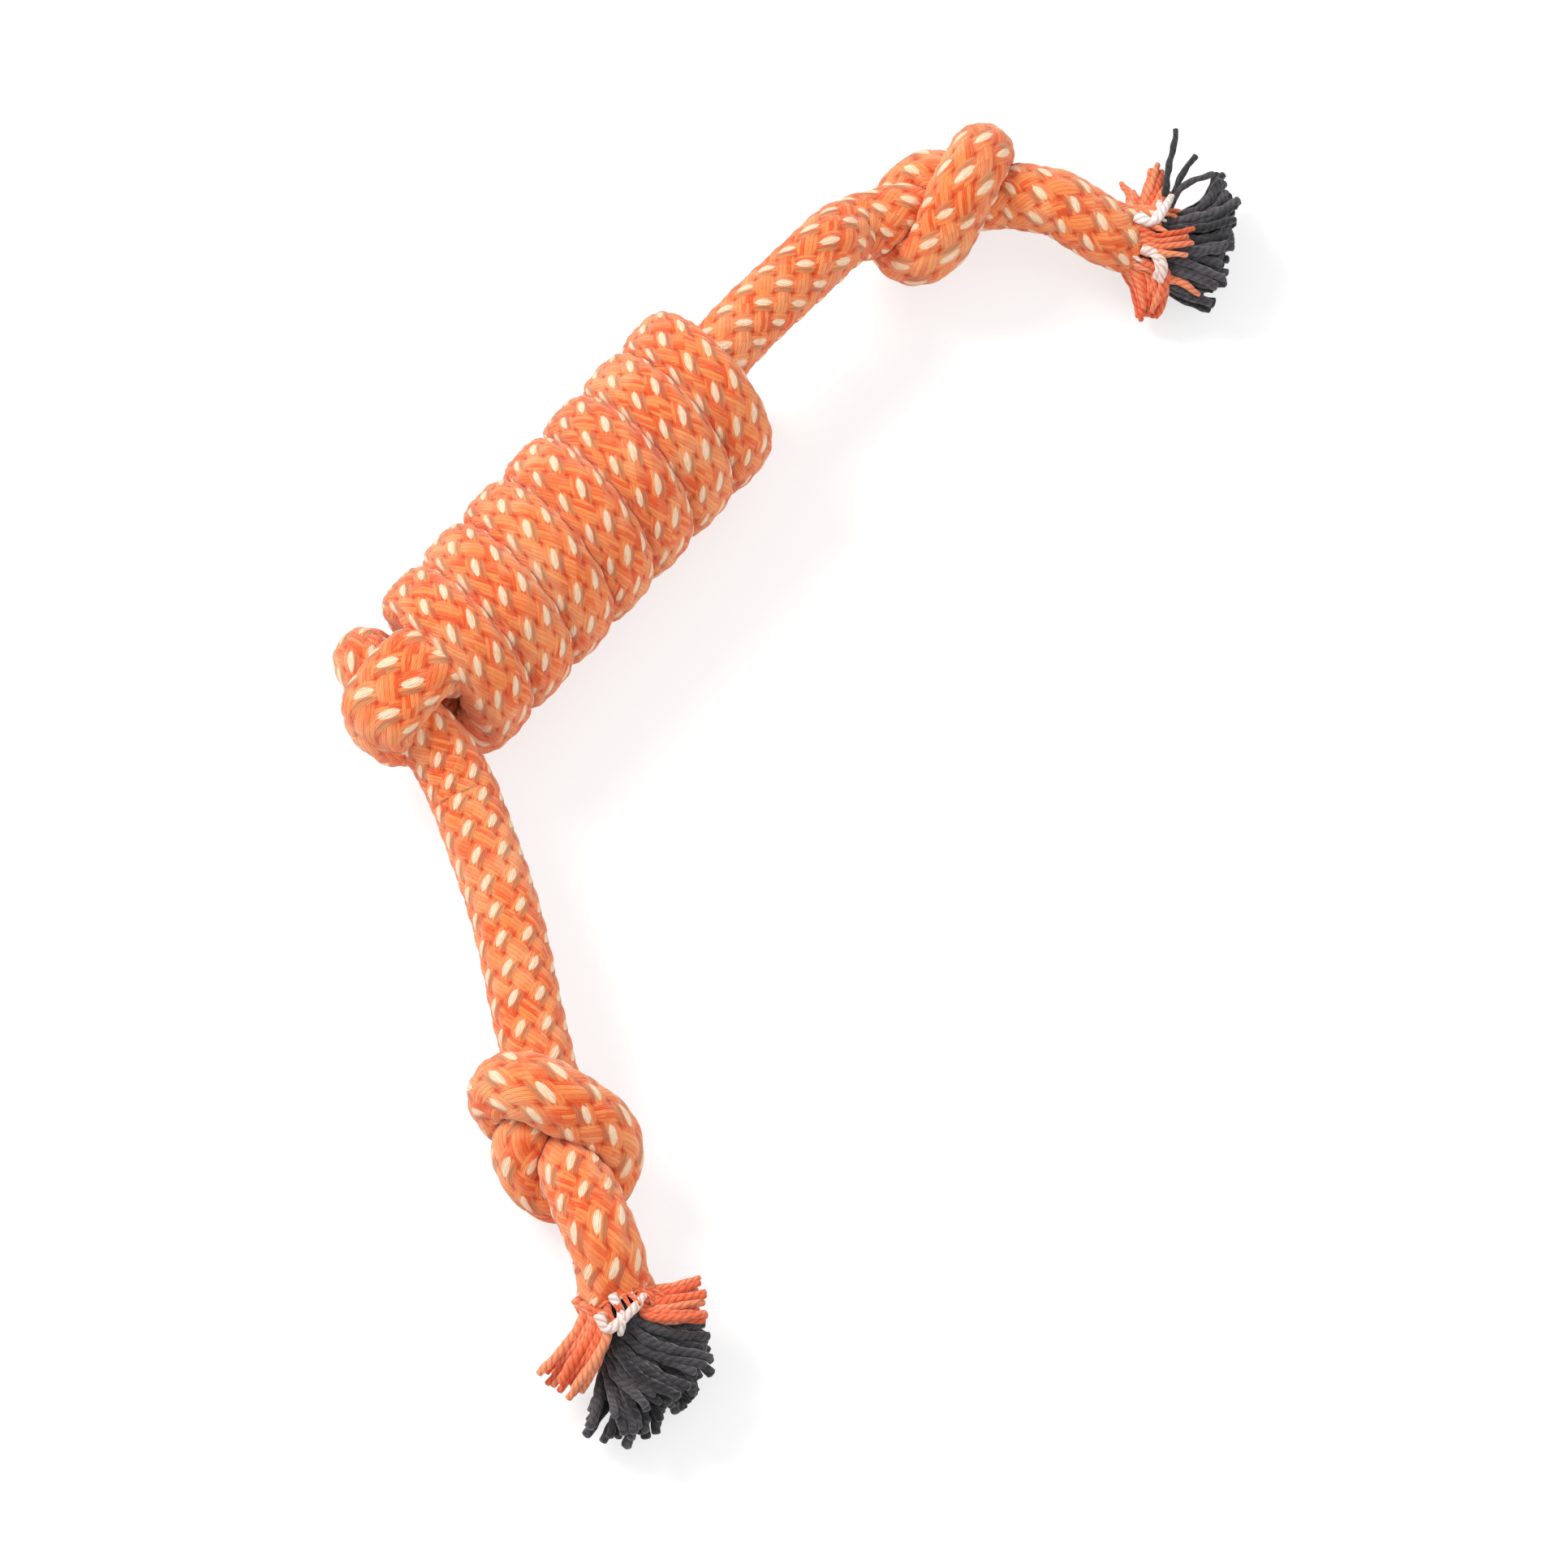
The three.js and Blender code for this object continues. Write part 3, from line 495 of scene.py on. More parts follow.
# What the visual rope adds: a fuller bight and tuck, knots drawn in, flared and torn mouths, and
# each leg where it is seen in the main view.
FULLER, BIGHT_INWARD, BIGHT_OUTWARD = 1.2, 2.0, 0.6
BIGHT_NARROW, BIGHT_SPREAD = 4.4, 1.9
BIGHT_WIDENS, BIGHT_NARROWS = (0.03, 0.2), (0.84, 0.97)
TUCK_WIDER, TUCK_HIGHER = 1.6, 1.4
TUCK_SQUEEZED, TUCK_RELEASED = (0, 0.4), (0.62, 1)
TURN_OVERLAP, TURN_SQUARE, SOFT_SQUARE = 0.05, 4.2, 2.2
STRAND_WIDE, STRAND_HIGH, ELBOW_WIDE = 4.6, 2.3, 4.3
FLATTENED, ELBOW_FILLED = (2, 18), (0.1, 0.5)
KNOT_SQUEEZE, SQUEEZE_FROM, SQUEEZE_TO = 0.78, 10.5, 18.0
MOUTH_FLARE, MOUTH_RUN, RAGGED = 0.12, 5.5, 0.4
RAGGED_WAVES = ((0.5, 5, 1), (0.4, 11, 2), (0.3, 17, 0))
LEG_FULLNESS, LEG_SMOOTH = 0.38, 2.2
SAG_RUN = 9
TAIL_END_HEIGHT = ROPE_RADIUS + 2.5
LEGS = {
    "near": {"heading": -122, "roll": 50, "tail": 14.0, "sag": (0, 0), "drift": (-3.8, 3.2)},
    "far": {"heading": -36, "roll": 138, "tail": 15.5, "sag": (0, -2.6), "drift": (0.8, 0.6)},
}
STEP = 0.45
SIDES = 72
LINE_SMOOTH, SIZE_SMOOTH, UP_SMOOTH = 0.7, 2.0, 1.0
CURVE_SMOOTH, REACH_SMOOTH, LAY_SMOOTH = 1.0, 1.6, 8.0
NECK_STEPS, ROOT_STEPS, KNOT_STEPS = 20, 12, 6
ROUTE_STEPS, TUCK_STEPS, TURN_STEPS = 8, 10, 130
UPPER_STEPS, LOWER_STEPS = 30, 40
FLOOR_GAP = 0.02
INSIDE_BEND_SHARE = 0.92
pivots = {joint["name"]: np.array(joint["pos_m"]) / MM for joint in frame["record"]["behaviour"]["joints"]}


def in_bar(x, up, side=0):
    """A place in or round the bar, told from its axis."""
    return np.array([x, side, AXIS_HEIGHT + up])


def polar(x, share, degrees):
    """A place round the bar's axis, at a share of the winding's radius."""
    a = math.radians(degrees)
    radius = WINDING_RADIUS * share
    return in_bar(x, radius * math.sin(a), radius * math.cos(a))


def helix(turns):
    return polar(-PITCH * turns, 1, 360 * turns - 90)


def move(lists, k, way, share):
    for values, part in zip(lists, way):
        values[k] += part * share


def between(lists, i, j):
    px, py, pz = lists
    dx, dy, dz = px[j] - px[i], py[j] - py[i], pz[j] - pz[i]
    return (dx, dy, dz), dx * dx + dy * dy + dz * dz


def even_out(lists, span, gap):
    """Holds the knot's ends a span apart and brings neighbouring points a gap apart."""
    last = KNOT_POINTS - 1
    for values, start, end in zip(lists, (-span / 2, 0, 0), (span / 2, 0, 0)):
        values[0] = start
        values[last] = end
    for k in range(last):
        way, squared = between(lists, k, k + 1)
        size = math.sqrt(squared)
        share = (size - gap) / size / 2
        if k > 0:
            move(lists, k, way, share)
        if k < last - 1:
            move(lists, k + 1, way, -share)


def tight_knot():
    """The overhand knot's centreline in spacings of its strands, as the CAD pulls it tight."""
    gap = KNOT_LENGTH / (KNOT_POINTS - 1)
    apart = [min(1, 2 * KNOT_BEND * math.sin(min(k * gap / 2 / KNOT_BEND, math.pi / 2)))
             for k in range(KNOT_POINTS)]
    t = KNOT_TURN * (2 * np.arange(KNOT_POINTS) / (KNOT_POINTS - 1) - 1)
    x = KNOT_WIDE * (t ** 3 - 3 * t)
    y = KNOT_HIGH * (t ** 4 - 4 * t ** 2)
    z = KNOT_DEEP * (KNOT_FIFTH * t ** 5 - 2 * t)
    loose = math.hypot(x[-1], z[-1])
    lists = [list((x * x[-1] + z * z[-1]) / loose), list(y - y[0]), list((z * x[-1] - x * z[-1]) / loose)]
    near = []
    for turn in range(PULL_ROUNDS + HOLD_ROUNDS):
        span = 2 * loose + (KNOT_PULLED - 2 * loose) * min(1, turn / PULL_ROUNDS)
        for _ in range(EVEN_ROUNDS):
            even_out(lists, span, gap)
        if turn % NEAR_EVERY == 0:
            p = np.array(lists).T
            far = np.linalg.norm(p[:, None] - p[None], axis=2)
            pairs = zip(*np.nonzero(np.triu(far < NEAR_WITHIN, 2)))
            near = [(int(i), int(j), apart[j - i]) for i, j in pairs]
        for i, j, wanted in near:
            way, squared = between(lists, i, j)
            if squared < wanted * wanted:
                size = math.sqrt(squared)
                share = (wanted - size) / size / 2
                move(lists, i, way, -share)
                move(lists, j, way, share)
    return np.array(lists).T


def turned(points, heading, roll):
    h, r = math.radians(heading), math.radians(roll)
    about_x = np.array([[1, 0, 0], [0, math.cos(r), -math.sin(r)], [0, math.sin(r), math.cos(r)]])
    about_z = np.array([[math.cos(h), -math.sin(h), 0], [math.sin(h), math.cos(h), 0], [0, 0, 1]])
    return points @ (about_z @ about_x).T


def squeezed(points, middle):
    """The knot drawn in towards its middle, with its two ends kept where they are."""
    away = np.linalg.norm(points - middle, axis=1, keepdims=True)
    share = np.clip((away - SQUEEZE_FROM) / (SQUEEZE_TO - SQUEEZE_FROM), 0, 1)
    return middle + (points - middle) * (KNOT_SQUEEZE + (1 - KNOT_SQUEEZE) * share)


def knot_points(facts, exit_at):
    """A leg's knot, turned as it lies and placed by the point where its tail leaves it."""
    inside = (knot_line[:, 0] >= -KNOT_IN) & (knot_line[:, 0] <= KNOT_OUT)
    points = turned(knot_line, facts["heading"], facts["roll"])[inside]
    points = points + exit_at - points[-1]
    beside = turned(np.array([(KNOT_IN - KNOT_OUT) / 2, 0, 0]), facts["heading"], facts["roll"])
    return squeezed(points, (points[0] + points[-1]) / 2 + beside)


def leg_line(side):
    """The leg's centreline from the bar to the tail's end."""
    facts = LEGS[side]
    joints = ("leg_swing", "leg_lift", "tail_swing", "tail_lift")
    first, lift, swing, last = (pivots[f"{side}_{joint}"] for joint in joints)
    points = knot_points(facts, swing)
    bend = LEG_FULLNESS * np.linalg.norm(points[0] - lift)
    entry_way = unit(points[1] - points[0])
    leg = bezier(lift, lift + unit(lift - first) * bend, points[0] - entry_way * bend, points[0])
    tail_way = unit(last - swing)
    flat = unit(tail_way * [1, 1, 0])
    end = swing + flat * facts["tail"]
    end[2] = TAIL_END_HEIGHT
    run = flat * math.hypot(*tail_way[:2]) * np.linalg.norm(end - last) / 2
    rows = [np.linspace(first, lift, NECK_STEPS), leg, catmull(points, KNOT_STEPS),
            np.linspace(swing, last, ROOT_STEPS), bezier(last, end - run, end)]
    marks = np.cumsum([distances(row)[-1] for row in rows])
    path = np.vstack([rows[0]] + [row[1:] for row in rows[1:]])
    along = distances(path)
    knot_end, root_end, tail_end = marks[2:]
    sagging = smoothstep(along, knot_end - SAG_RUN, knot_end) * (1 - smoothstep(along, root_end, tail_end))
    drifting = smoothstep(along, knot_end, tail_end)
    return path + seen(*facts["sag"]) * sagging[:, None] + seen(*facts["drift"]) * drifting[:, None]


elbow = [polar(FAR_TURN_X + a * TURN_WIDTH, b, d) for a, b, d in ELBOW_SHARES]
tuck = [in_bar(LAST_TURN_X + a * TURN_WIDTH, c * WINDING_RADIUS, b * WINDING_RADIUS)
        for a, b, c in TUCK_SHARES]
knot_line = tight_knot() * KNOT_SPACING
strand_rise = BUNDLE_RADIUS / 2


def bight_points():
    """The bight's route, from the lower strand's end over the tuck to the upper strand's end."""
    tuck_x, tuck_rise = tuck[UNDER_BIGHT][0], tuck[UNDER_BIGHT][2] - AXIS_HEIGHT
    top = tuck_rise + TUCK_HEIGHT / 2 + 2 * FIT_GAP + BIGHT_THICKNESS / 2
    near_x = tuck_x - TUCK_WIDTH / 2 - 2 * FIT_GAP - BIGHT_THICKNESS / 2
    half_turn_x = -PITCH * (TURNS - ORIGIN_TURN - 0.5)
    upper_end_x = half_turn_x - TURN_WIDTH / 4
    lower_end_x = LAST_TURN_X - TURN_WIDTH / 2
    descent_x = (tuck_x + TUCK_WIDTH / 2 + half_turn_x - TURN_WIDTH / 2) / 2

    def on_bight(along, up):
        return in_bar(tuck_x + along * TURN_WIDTH, up * (top + strand_rise) - strand_rise)

    return [in_bar(lower_end_x - FIT_GAP, -strand_rise),
            on_bight(0.12, 0), on_bight(-0.38, 0.04), on_bight(-0.76, 0.25),
            in_bar(near_x, top / 2),
            on_bight(-0.78, 0.78), on_bight(-0.07, 1), on_bight(0.36, 1), on_bight(0.68, 0.84),
            in_bar(descent_x, 0.57 * top),
            in_bar(descent_x + 0.13 * TURN_WIDTH, 0.33 * top),
            in_bar(upper_end_x - BIGHT_THICKNESS / 2, strand_rise),
            in_bar(upper_end_x - 1.5 * FIT_GAP, strand_rise)]


stretches = []


def stretch(name, points, wide, high, square=2.0, up=Z, smooth=2.0):
    """A stretch of rope: its line, its half sizes across and along `up`, and how square it is."""
    count = len(points)
    columns = [np.broadcast_to(np.asarray(v, float), (count,)) for v in (wide, high, square, smooth)]
    stretches.append((name, np.array(points, float), np.broadcast_to(up, (count, 3)), np.stack(columns, 1)))


def changed(start, end, share):
    return start + (end - start) * share


def lay_inside():
    """The rope inside the bar: in beside the far leg, to the bight, round it and back to the elbow."""
    swing = pivots["far_leg_swing"]
    stub = np.linspace(swing, [FAR_LEG_X, swing[1], swing[2]], ROUTE_STEPS)
    inner = catmull([stub[-1], in_bar(FAR_LEG_X - 6, 3.4, 0.4), in_bar(FAR_LEG_X - 14, strand_rise),
                     in_bar(FAR_LEG_X - 24, strand_rise)], ROUTE_STEPS)
    share = smoothstep(np.arange(len(inner)), *FLATTENED)[1:]
    wide, high = (changed(ROPE_RADIUS, size, share) for size in (STRAND_WIDE, STRAND_HIGH))
    stretch("stub", stub, ROPE_RADIUS, ROPE_RADIUS)
    stretch("inner", inner[1:], wide, high)
    bight = bight_points()
    stretch("upper", np.linspace(inner[-1], bight[-1], UPPER_STEPS)[1:], STRAND_WIDE, STRAND_HIGH)
    loop = catmull(bight[::-1], ROUTE_STEPS)
    share = np.arange(len(loop)) / len(loop)
    spread = smoothstep(share, *BIGHT_WIDENS) * (1 - smoothstep(share, *BIGHT_NARROWS))
    loop_up = np.cross(unit(np.gradient(loop, axis=0)), Y)
    loop = loop + loop_up * (BIGHT_OUTWARD * spread)[:, None] + X * (BIGHT_INWARD * spread)[:, None]
    wide, high = BIGHT_NARROW + BIGHT_SPREAD * spread, STRAND_HIGH + FULLER * spread
    stretch("bight", loop[1:], wide[1:], high[1:], SOFT_SQUARE, up=loop_up[1:], smooth=1)
    lower = np.linspace(bight[0], in_bar(elbow[0][0] - 6, -strand_rise), LOWER_STEPS)
    stretch("lower", lower[1:], STRAND_WIDE, STRAND_HIGH, up=-Z)
    return lower[-1]


def lay_winding(start):
    """The rope round the bar: the elbow, the turns and the tuck through the bight."""
    entry = in_bar(elbow[0][0] - 3, -3.4, -0.8)
    turning = catmull([start, entry] + elbow + [helix(HELIX_FROM)], ROUTE_STEPS)
    share = smoothstep(np.arange(len(turning)) / len(turning), *ELBOW_FILLED)[1:-1]
    wide, high = changed(STRAND_WIDE, ELBOW_WIDE, share), changed(STRAND_HIGH, TURN_THICKNESS / 2, share)
    stretch("elbow", turning[1:-1], wide, high, up=-Z)
    turns = np.array([helix(t) for t in np.linspace(HELIX_FROM, HELIX_TO, TURNS * TURN_STEPS)])
    outward = unit((turns - [0, 0, AXIS_HEIGHT]) * [0, 1, 1])
    stretch("turns", turns, PITCH / 2 + TURN_OVERLAP, TURN_THICKNESS / 2, TURN_SQUARE, up=outward, smooth=0)
    tucked = catmull([helix(HELIX_TO)] + tuck, TUCK_STEPS)
    share = np.linspace(0, 1, len(tucked))
    release = smoothstep(share, *TUCK_RELEASED)
    squeeze = smoothstep(share, *TUCK_SQUEEZED) * (1 - release)
    wide, high = ((size + (tuck_size - size) * squeeze + (2 * ROPE_RADIUS - size) * release) / 2
                  for size, tuck_size in ((TURN_WIDTH, TUCK_WIDTH + TUCK_WIDER),
                                          (TURN_THICKNESS, TUCK_HEIGHT + TUCK_HIGHER)))
    way = unit(np.gradient(tucked, axis=0))
    side = unit(-X - way * (-X * way).sum(1, keepdims=True))
    stretch("tuck", tucked[1:], wide[1:], high[1:], SOFT_SQUARE, up=np.cross(way, side)[1:], smooth=1)


stretch("far_leg", leg_line("far")[::-1], ROPE_RADIUS, ROPE_RADIUS, smooth=LEG_SMOOTH)
lay_winding(lay_inside())
stretch("near_leg", leg_line("near")[1:], ROPE_RADIUS, ROPE_RADIUS, smooth=LEG_SMOOTH)

# The whole rope as one line of even steps, each with the stretch that it is in
order, *columns = zip(*stretches)
label = np.concatenate([[i] * len(points) for i, points in enumerate(columns[0])])
line, ups, sizes = (np.vstack(column) for column in columns)
line, ups, sizes, label = resample(line, STEP, ups, sizes, label)
line = smoothed(line, sizes[:, 3] / STEP * LINE_SMOOTH)
sizes = smoothed(sizes, SIZE_SMOOTH / STEP)
ups = smoothed(ups, UP_SMOOTH / STEP)
travelled = distances(line)
total = travelled[-1]
forward = unit(np.gradient(line, travelled, axis=0))
curvature = smoothed(np.gradient(forward, travelled, axis=0), CURVE_SMOOTH)

# Directions round each place that don't twist along the rope
frame_up = np.zeros_like(line)
current = np.cross(forward[0], np.cross(Z, forward[0]))
for i, way in enumerate(forward):
    current = unit(current - way * (current @ way))
    frame_up[i] = current
frame_side = np.cross(frame_up, forward)
angles = FULL_TURN * np.arange(SIDES) / SIDES
outwards = (frame_side[:, None] * np.cos(angles)[None, :, None]
            + frame_up[:, None] * np.sin(angles)[None, :, None])

# How far the skin reaches each way, first as a flattened rope that nothing presses
flat_up = unit(ups - forward * (ups * forward).sum(1, keepdims=True))
along_up = np.abs((outwards * flat_up[:, None]).sum(2))
along_side = np.sqrt(np.clip(1 - along_up ** 2, 0, 1))
power = sizes[:, 2][:, None]
flat_reaches = ((along_side / sizes[:, :1]) ** power + (along_up / sizes[:, 1:2]) ** power) ** (-1 / power)
reaches = flat_reaches.copy()


def press_knot(side, gap_share=0.1, reach_squared=130, free=99, least=1e-6):
    """Squeezes the strands of a knot against each other, with a share of a gap left between them."""
    where = np.flatnonzero(np.round(label) == order.index(f"{side}_leg"))
    spans = line[where][None] - line[where][:, None]
    squared = (spans ** 2).sum(2)
    run = travelled[where]
    away = np.abs(run[None] - run[:, None]) > 2 * KNOT_SPACING * KNOT_SQUEEZE
    for i, at in enumerate(where):
        near = away[i] & (squared[i] < reach_squared)
        if not near.any():
            continue
        along = outwards[at] @ spans[i, near].T
        half = squared[i, near] / 2 / np.maximum(along, least)
        gap = gap_share * np.sqrt(squared[i, near]) / np.maximum(along, least) / 2
        limit = np.where(along > 0, half - gap, free).min(1)
        reaches[at] = np.minimum(reaches[at], limit)


def rounded_off(rows, width=2.0, far=6):
    """Reaches averaged round the rope."""
    wrapped = np.concatenate([rows[:, -far:], rows, rows[:, :far]], 1)
    kernel = np.exp(-0.5 * (np.arange(-far, far + 1) / width) ** 2)
    kernel /= kernel.sum()
    return np.stack([np.convolve(row, kernel, "valid") for row in wrapped])


for side in LEGS:
    press_knot(side)
inward = (outwards * curvature[:, None]).sum(2)
reaches = np.minimum(reaches, INSIDE_BEND_SHARE / np.maximum(inward, 1e-3))
reaches = smoothed(rounded_off(reaches), REACH_SMOOTH)
from_end = np.minimum(travelled, total - travelled)
reaches = reaches * (1 + MOUTH_FLARE * (1 - smoothstep(from_end, 0, MOUTH_RUN)))[:, None]

# The braid's run along the rope, and its place round the rope, kept even over flattened turns
wound = (label >= order.index("elbow")) & (label <= order.index("tuck"))
lay = smoothed(np.where(wound, WOUND_LAY, BRAID_LAY), LAY_SMOOTH)
lays = np.concatenate([[0], np.cumsum(np.diff(travelled) / lay[1:])])
sideways = (outwards * np.cross(flat_up, forward)[:, None]).sum(2)
upwards = (outwards * flat_up[:, None]).sum(2)
turned_by = np.arcsin(np.clip(flat_reaches * np.abs(sideways) / sizes[:, :1], 0, 1))
turned_by = np.sign(sideways) * np.where(upwards < 0, math.pi - turned_by, turned_by)
around_rope = (angles[None] - (turned_by - np.arctan2(sideways, upwards))) / FULL_TURN
relief = braid_height(*(BRAID_YARNS * (around_rope + way * lays[:, None]) for way in (-1, 1)))

# The skin, torn a little at both mouths and resting on the floor
skin_points = line[:, None] + outwards * (reaches + relief)[:, :, None]
ragged = sum(size * np.sin(waves * angles + start) for size, waves, start in RAGGED_WAVES)
outward_way = forward * np.where(travelled < total / 2, -1, 1)[:, None]
torn = RAGGED * (1 - smoothstep(from_end, 0, MOUTH_RUN / 2))
skin_points += outward_way[:, None] * (torn[:, None] * ragged[None])[:, :, None]
skin_points[:, :, 2] = np.maximum(skin_points[:, :, 2], FLOOR_GAP)


def new_object(name, points, faces, material):
    mesh = bpy.data.meshes.new(name)
    mesh.vertices.add(len(points))
    mesh.vertices.foreach_set("co", (np.asarray(points, float) * MM).astype(np.float32).ravel())
    faces = np.asarray(faces, np.int32)
    mesh.loops.add(faces.size)
    mesh.loops.foreach_set("vertex_index", faces.ravel())
    mesh.polygons.add(len(faces))
    mesh.polygons.foreach_set("loop_start", np.arange(0, faces.size, faces.shape[1], dtype=np.int32))
    mesh.polygons.foreach_set("use_smooth", np.ones(len(faces), bool))
    mesh.update(calc_edges=True)
    mesh.validate()
    mesh.materials.append(material)
    obj = bpy.data.objects.new(name, mesh)
    scene.collection.objects.link(obj)
    return obj


def grid_faces(rows, sides):
    i, k = np.meshgrid(np.arange(rows - 1), np.arange(sides), indexing="ij")
    here, beside = i * sides + k, i * sides + (k + 1) % sides
    return np.stack([here, beside, beside + sides, here + sides], 2).reshape(-1, 4), i.ravel(), k.ravel()


# The sheath's edge inside its mouth: share of the edge's size, way out and run of the braid
RIM = ((0.95, 0.1, 0.2), (0.88, -0.4, 0.5), (0.8, -1.2, 1.2), (0.72, -2.6, 2.7))


def with_rim(rows, run, around, at, sign):
    """The end of the sheath: its edge turns in and goes back inside the rope."""
    rows, run, around = (column[::sign] for column in (rows, run, around))
    edge = rows[-1]
    turned_in = [line[at] + (edge - line[at]) * share + forward[at] * sign * out for share, out, _ in RIM]
    further = sign * np.array([braided for *_, braided in RIM]) / BRAID_LAY
    rows = np.vstack([rows, np.array(turned_in)])
    run = np.concatenate([run, run[-1] + further])
    around = np.vstack([around, np.repeat(around[-1:], len(RIM), 0)])
    return rows[::sign], run[::sign], around[::sign]


def rope_piece(name, start, end, rim=0):
    """The rope's skin between two places along it. A rim of -1 or 1 is at its start or its end."""
    first, last = (int(np.argmin(np.abs(travelled - s))) for s in (start, end))
    rows, run, around = (column[first:last + 1] for column in (skin_points, lays, around_rope))
    if rim:
        rows, run, around = with_rim(rows, run, around, last if rim > 0 else first, rim)
    faces, i, k = grid_faces(len(rows), SIDES)
    obj = new_object(name, rows.reshape(-1, 3), faces, braid)
    uv = obj.data.uv_layers.new(name="braid")
    after = (k + 1) % SIDES
    wrapped = (k + 1) // SIDES
    turn_share = np.stack([around[i, k], around[i, after] + wrapped, around[i + 1, after] + wrapped,
                           around[i + 1, k]], 1)
    lay_share = np.stack([run[i], run[i], run[i + 1], run[i + 1]], 1)
    pair = np.stack([turn_share - lay_share, turn_share + lay_share], 2) * BRAID_YARNS
    uv.data.foreach_set("uv", pair.astype(np.float32).ravel())
    return obj


def nearest(point, name, reach=0.6):
    """How far along the rope's line the place nearest a point is, within a stretch."""
    inside = np.flatnonzero(np.abs(label - order.index(name)) < reach)
    return travelled[inside[np.argmin(np.linalg.norm(line[inside] - point, axis=1))]]


def seam(side, one, other):
    return nearest((pivots[f"{side}_{one}"] + pivots[f"{side}_{other}"]) / 2, f"{side}_leg")


# Which way each leg runs along the rope, and how far inside the knot its seam with the tail is
WAYS = {"far": -1, "near": 1}
SEAM_IN_KNOT = 4.5


def knot_seam(side):
    """The seam between the knot and the tail's root, hidden inside the knot."""
    return nearest(pivots[f"{side}_tail_swing"], f"{side}_leg") - WAYS[side] * SEAM_IN_KNOT


# Each bending stretch, from the bar out: its joint, the bodies before and after that, and half the
# bend's length
BENDS = {
    "neck": ("leg_swing", "bar", "neck", 3.5),
    "leg": ("leg_lift", "neck", "leg", 5.0),
    "root": ("tail_swing", "leg", "tail", 3.2),
    "tail": ("tail_lift", "tail", "tassel", 3.5),
}
elbow_at = nearest(elbow[0] - [2, 0, 0], "elbow")
bar_cuts = {"far": nearest(in_bar(FAR_LEG_X - 3, 4, 0.4), "inner"),
            "near": nearest(tuck[UNDER_BIGHT], "tuck")}

pieces = {}
for side, way in WAYS.items():
    neck, tail = seam(side, "leg_swing", "leg_lift"), seam(side, "tail_swing", "tail_lift")
    cuts = (bar_cuts[side], neck, knot_seam(side), tail, 0 if side == "far" else total)
    for name, ends in zip(BENDS, zip(cuts, cuts[1:])):
        rim = way if name == "tail" else 0
        pieces[f"{side}_{name}"] = rope_piece(f"rope_{side}_{name}", min(ends), max(ends), rim)
pieces["core"] = rope_piece("rope_core_and_bight", bar_cuts["far"], elbow_at)
pieces["winding"] = rope_piece("rope_winding", elbow_at, bar_cuts["near"])

for name in ("core", "winding"):
    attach(pieces[name], "bar")
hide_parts("core_strand_upper", "core_strand_lower", "bight")
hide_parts("winding")
for side in LEGS:
    for name, (joint, one, other, half) in BENDS.items():
        at = pivots[f"{side}_{joint}"]
        place = nearest(at, f"{side}_leg")
        way = forward[int(np.argmin(np.abs(travelled - place)))] * WAYS[side]
        piece = pieces[f"{side}_{name}"]
        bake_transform(piece)
    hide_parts(f"{side}_neck_sheath", f"{side}_neck_core")
    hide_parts(f"{side}_leg_sheath", f"{side}_leg_core", f"{side}_knot")
    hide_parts(f"{side}_tail_sheath", f"{side}_tail_core")


# A loose yarn's form: the depth and turn of its plies, and its thick and thin places
PLY_DEPTH, PLY_TURN = 0.11, 2.2
THICK_SHARE, THICK_TURN = 0.1, 1.7
WOBBLE, WOBBLE_TURNS = 0.25, (0.25, 0.6)
YARN_SIDES, YARN_STEPS, YARN_STEP = 10, 10, 0.5
# The blunt end of a yarn: how far past it, in radii, at what share of its size, and its own run
BLUNT_END = ((0.25, 0.6, 0.2), (0.32, 0.05, 0.4))
YARN_FLOOR_GAP = 0.03
PHASES = (0, 6.28)


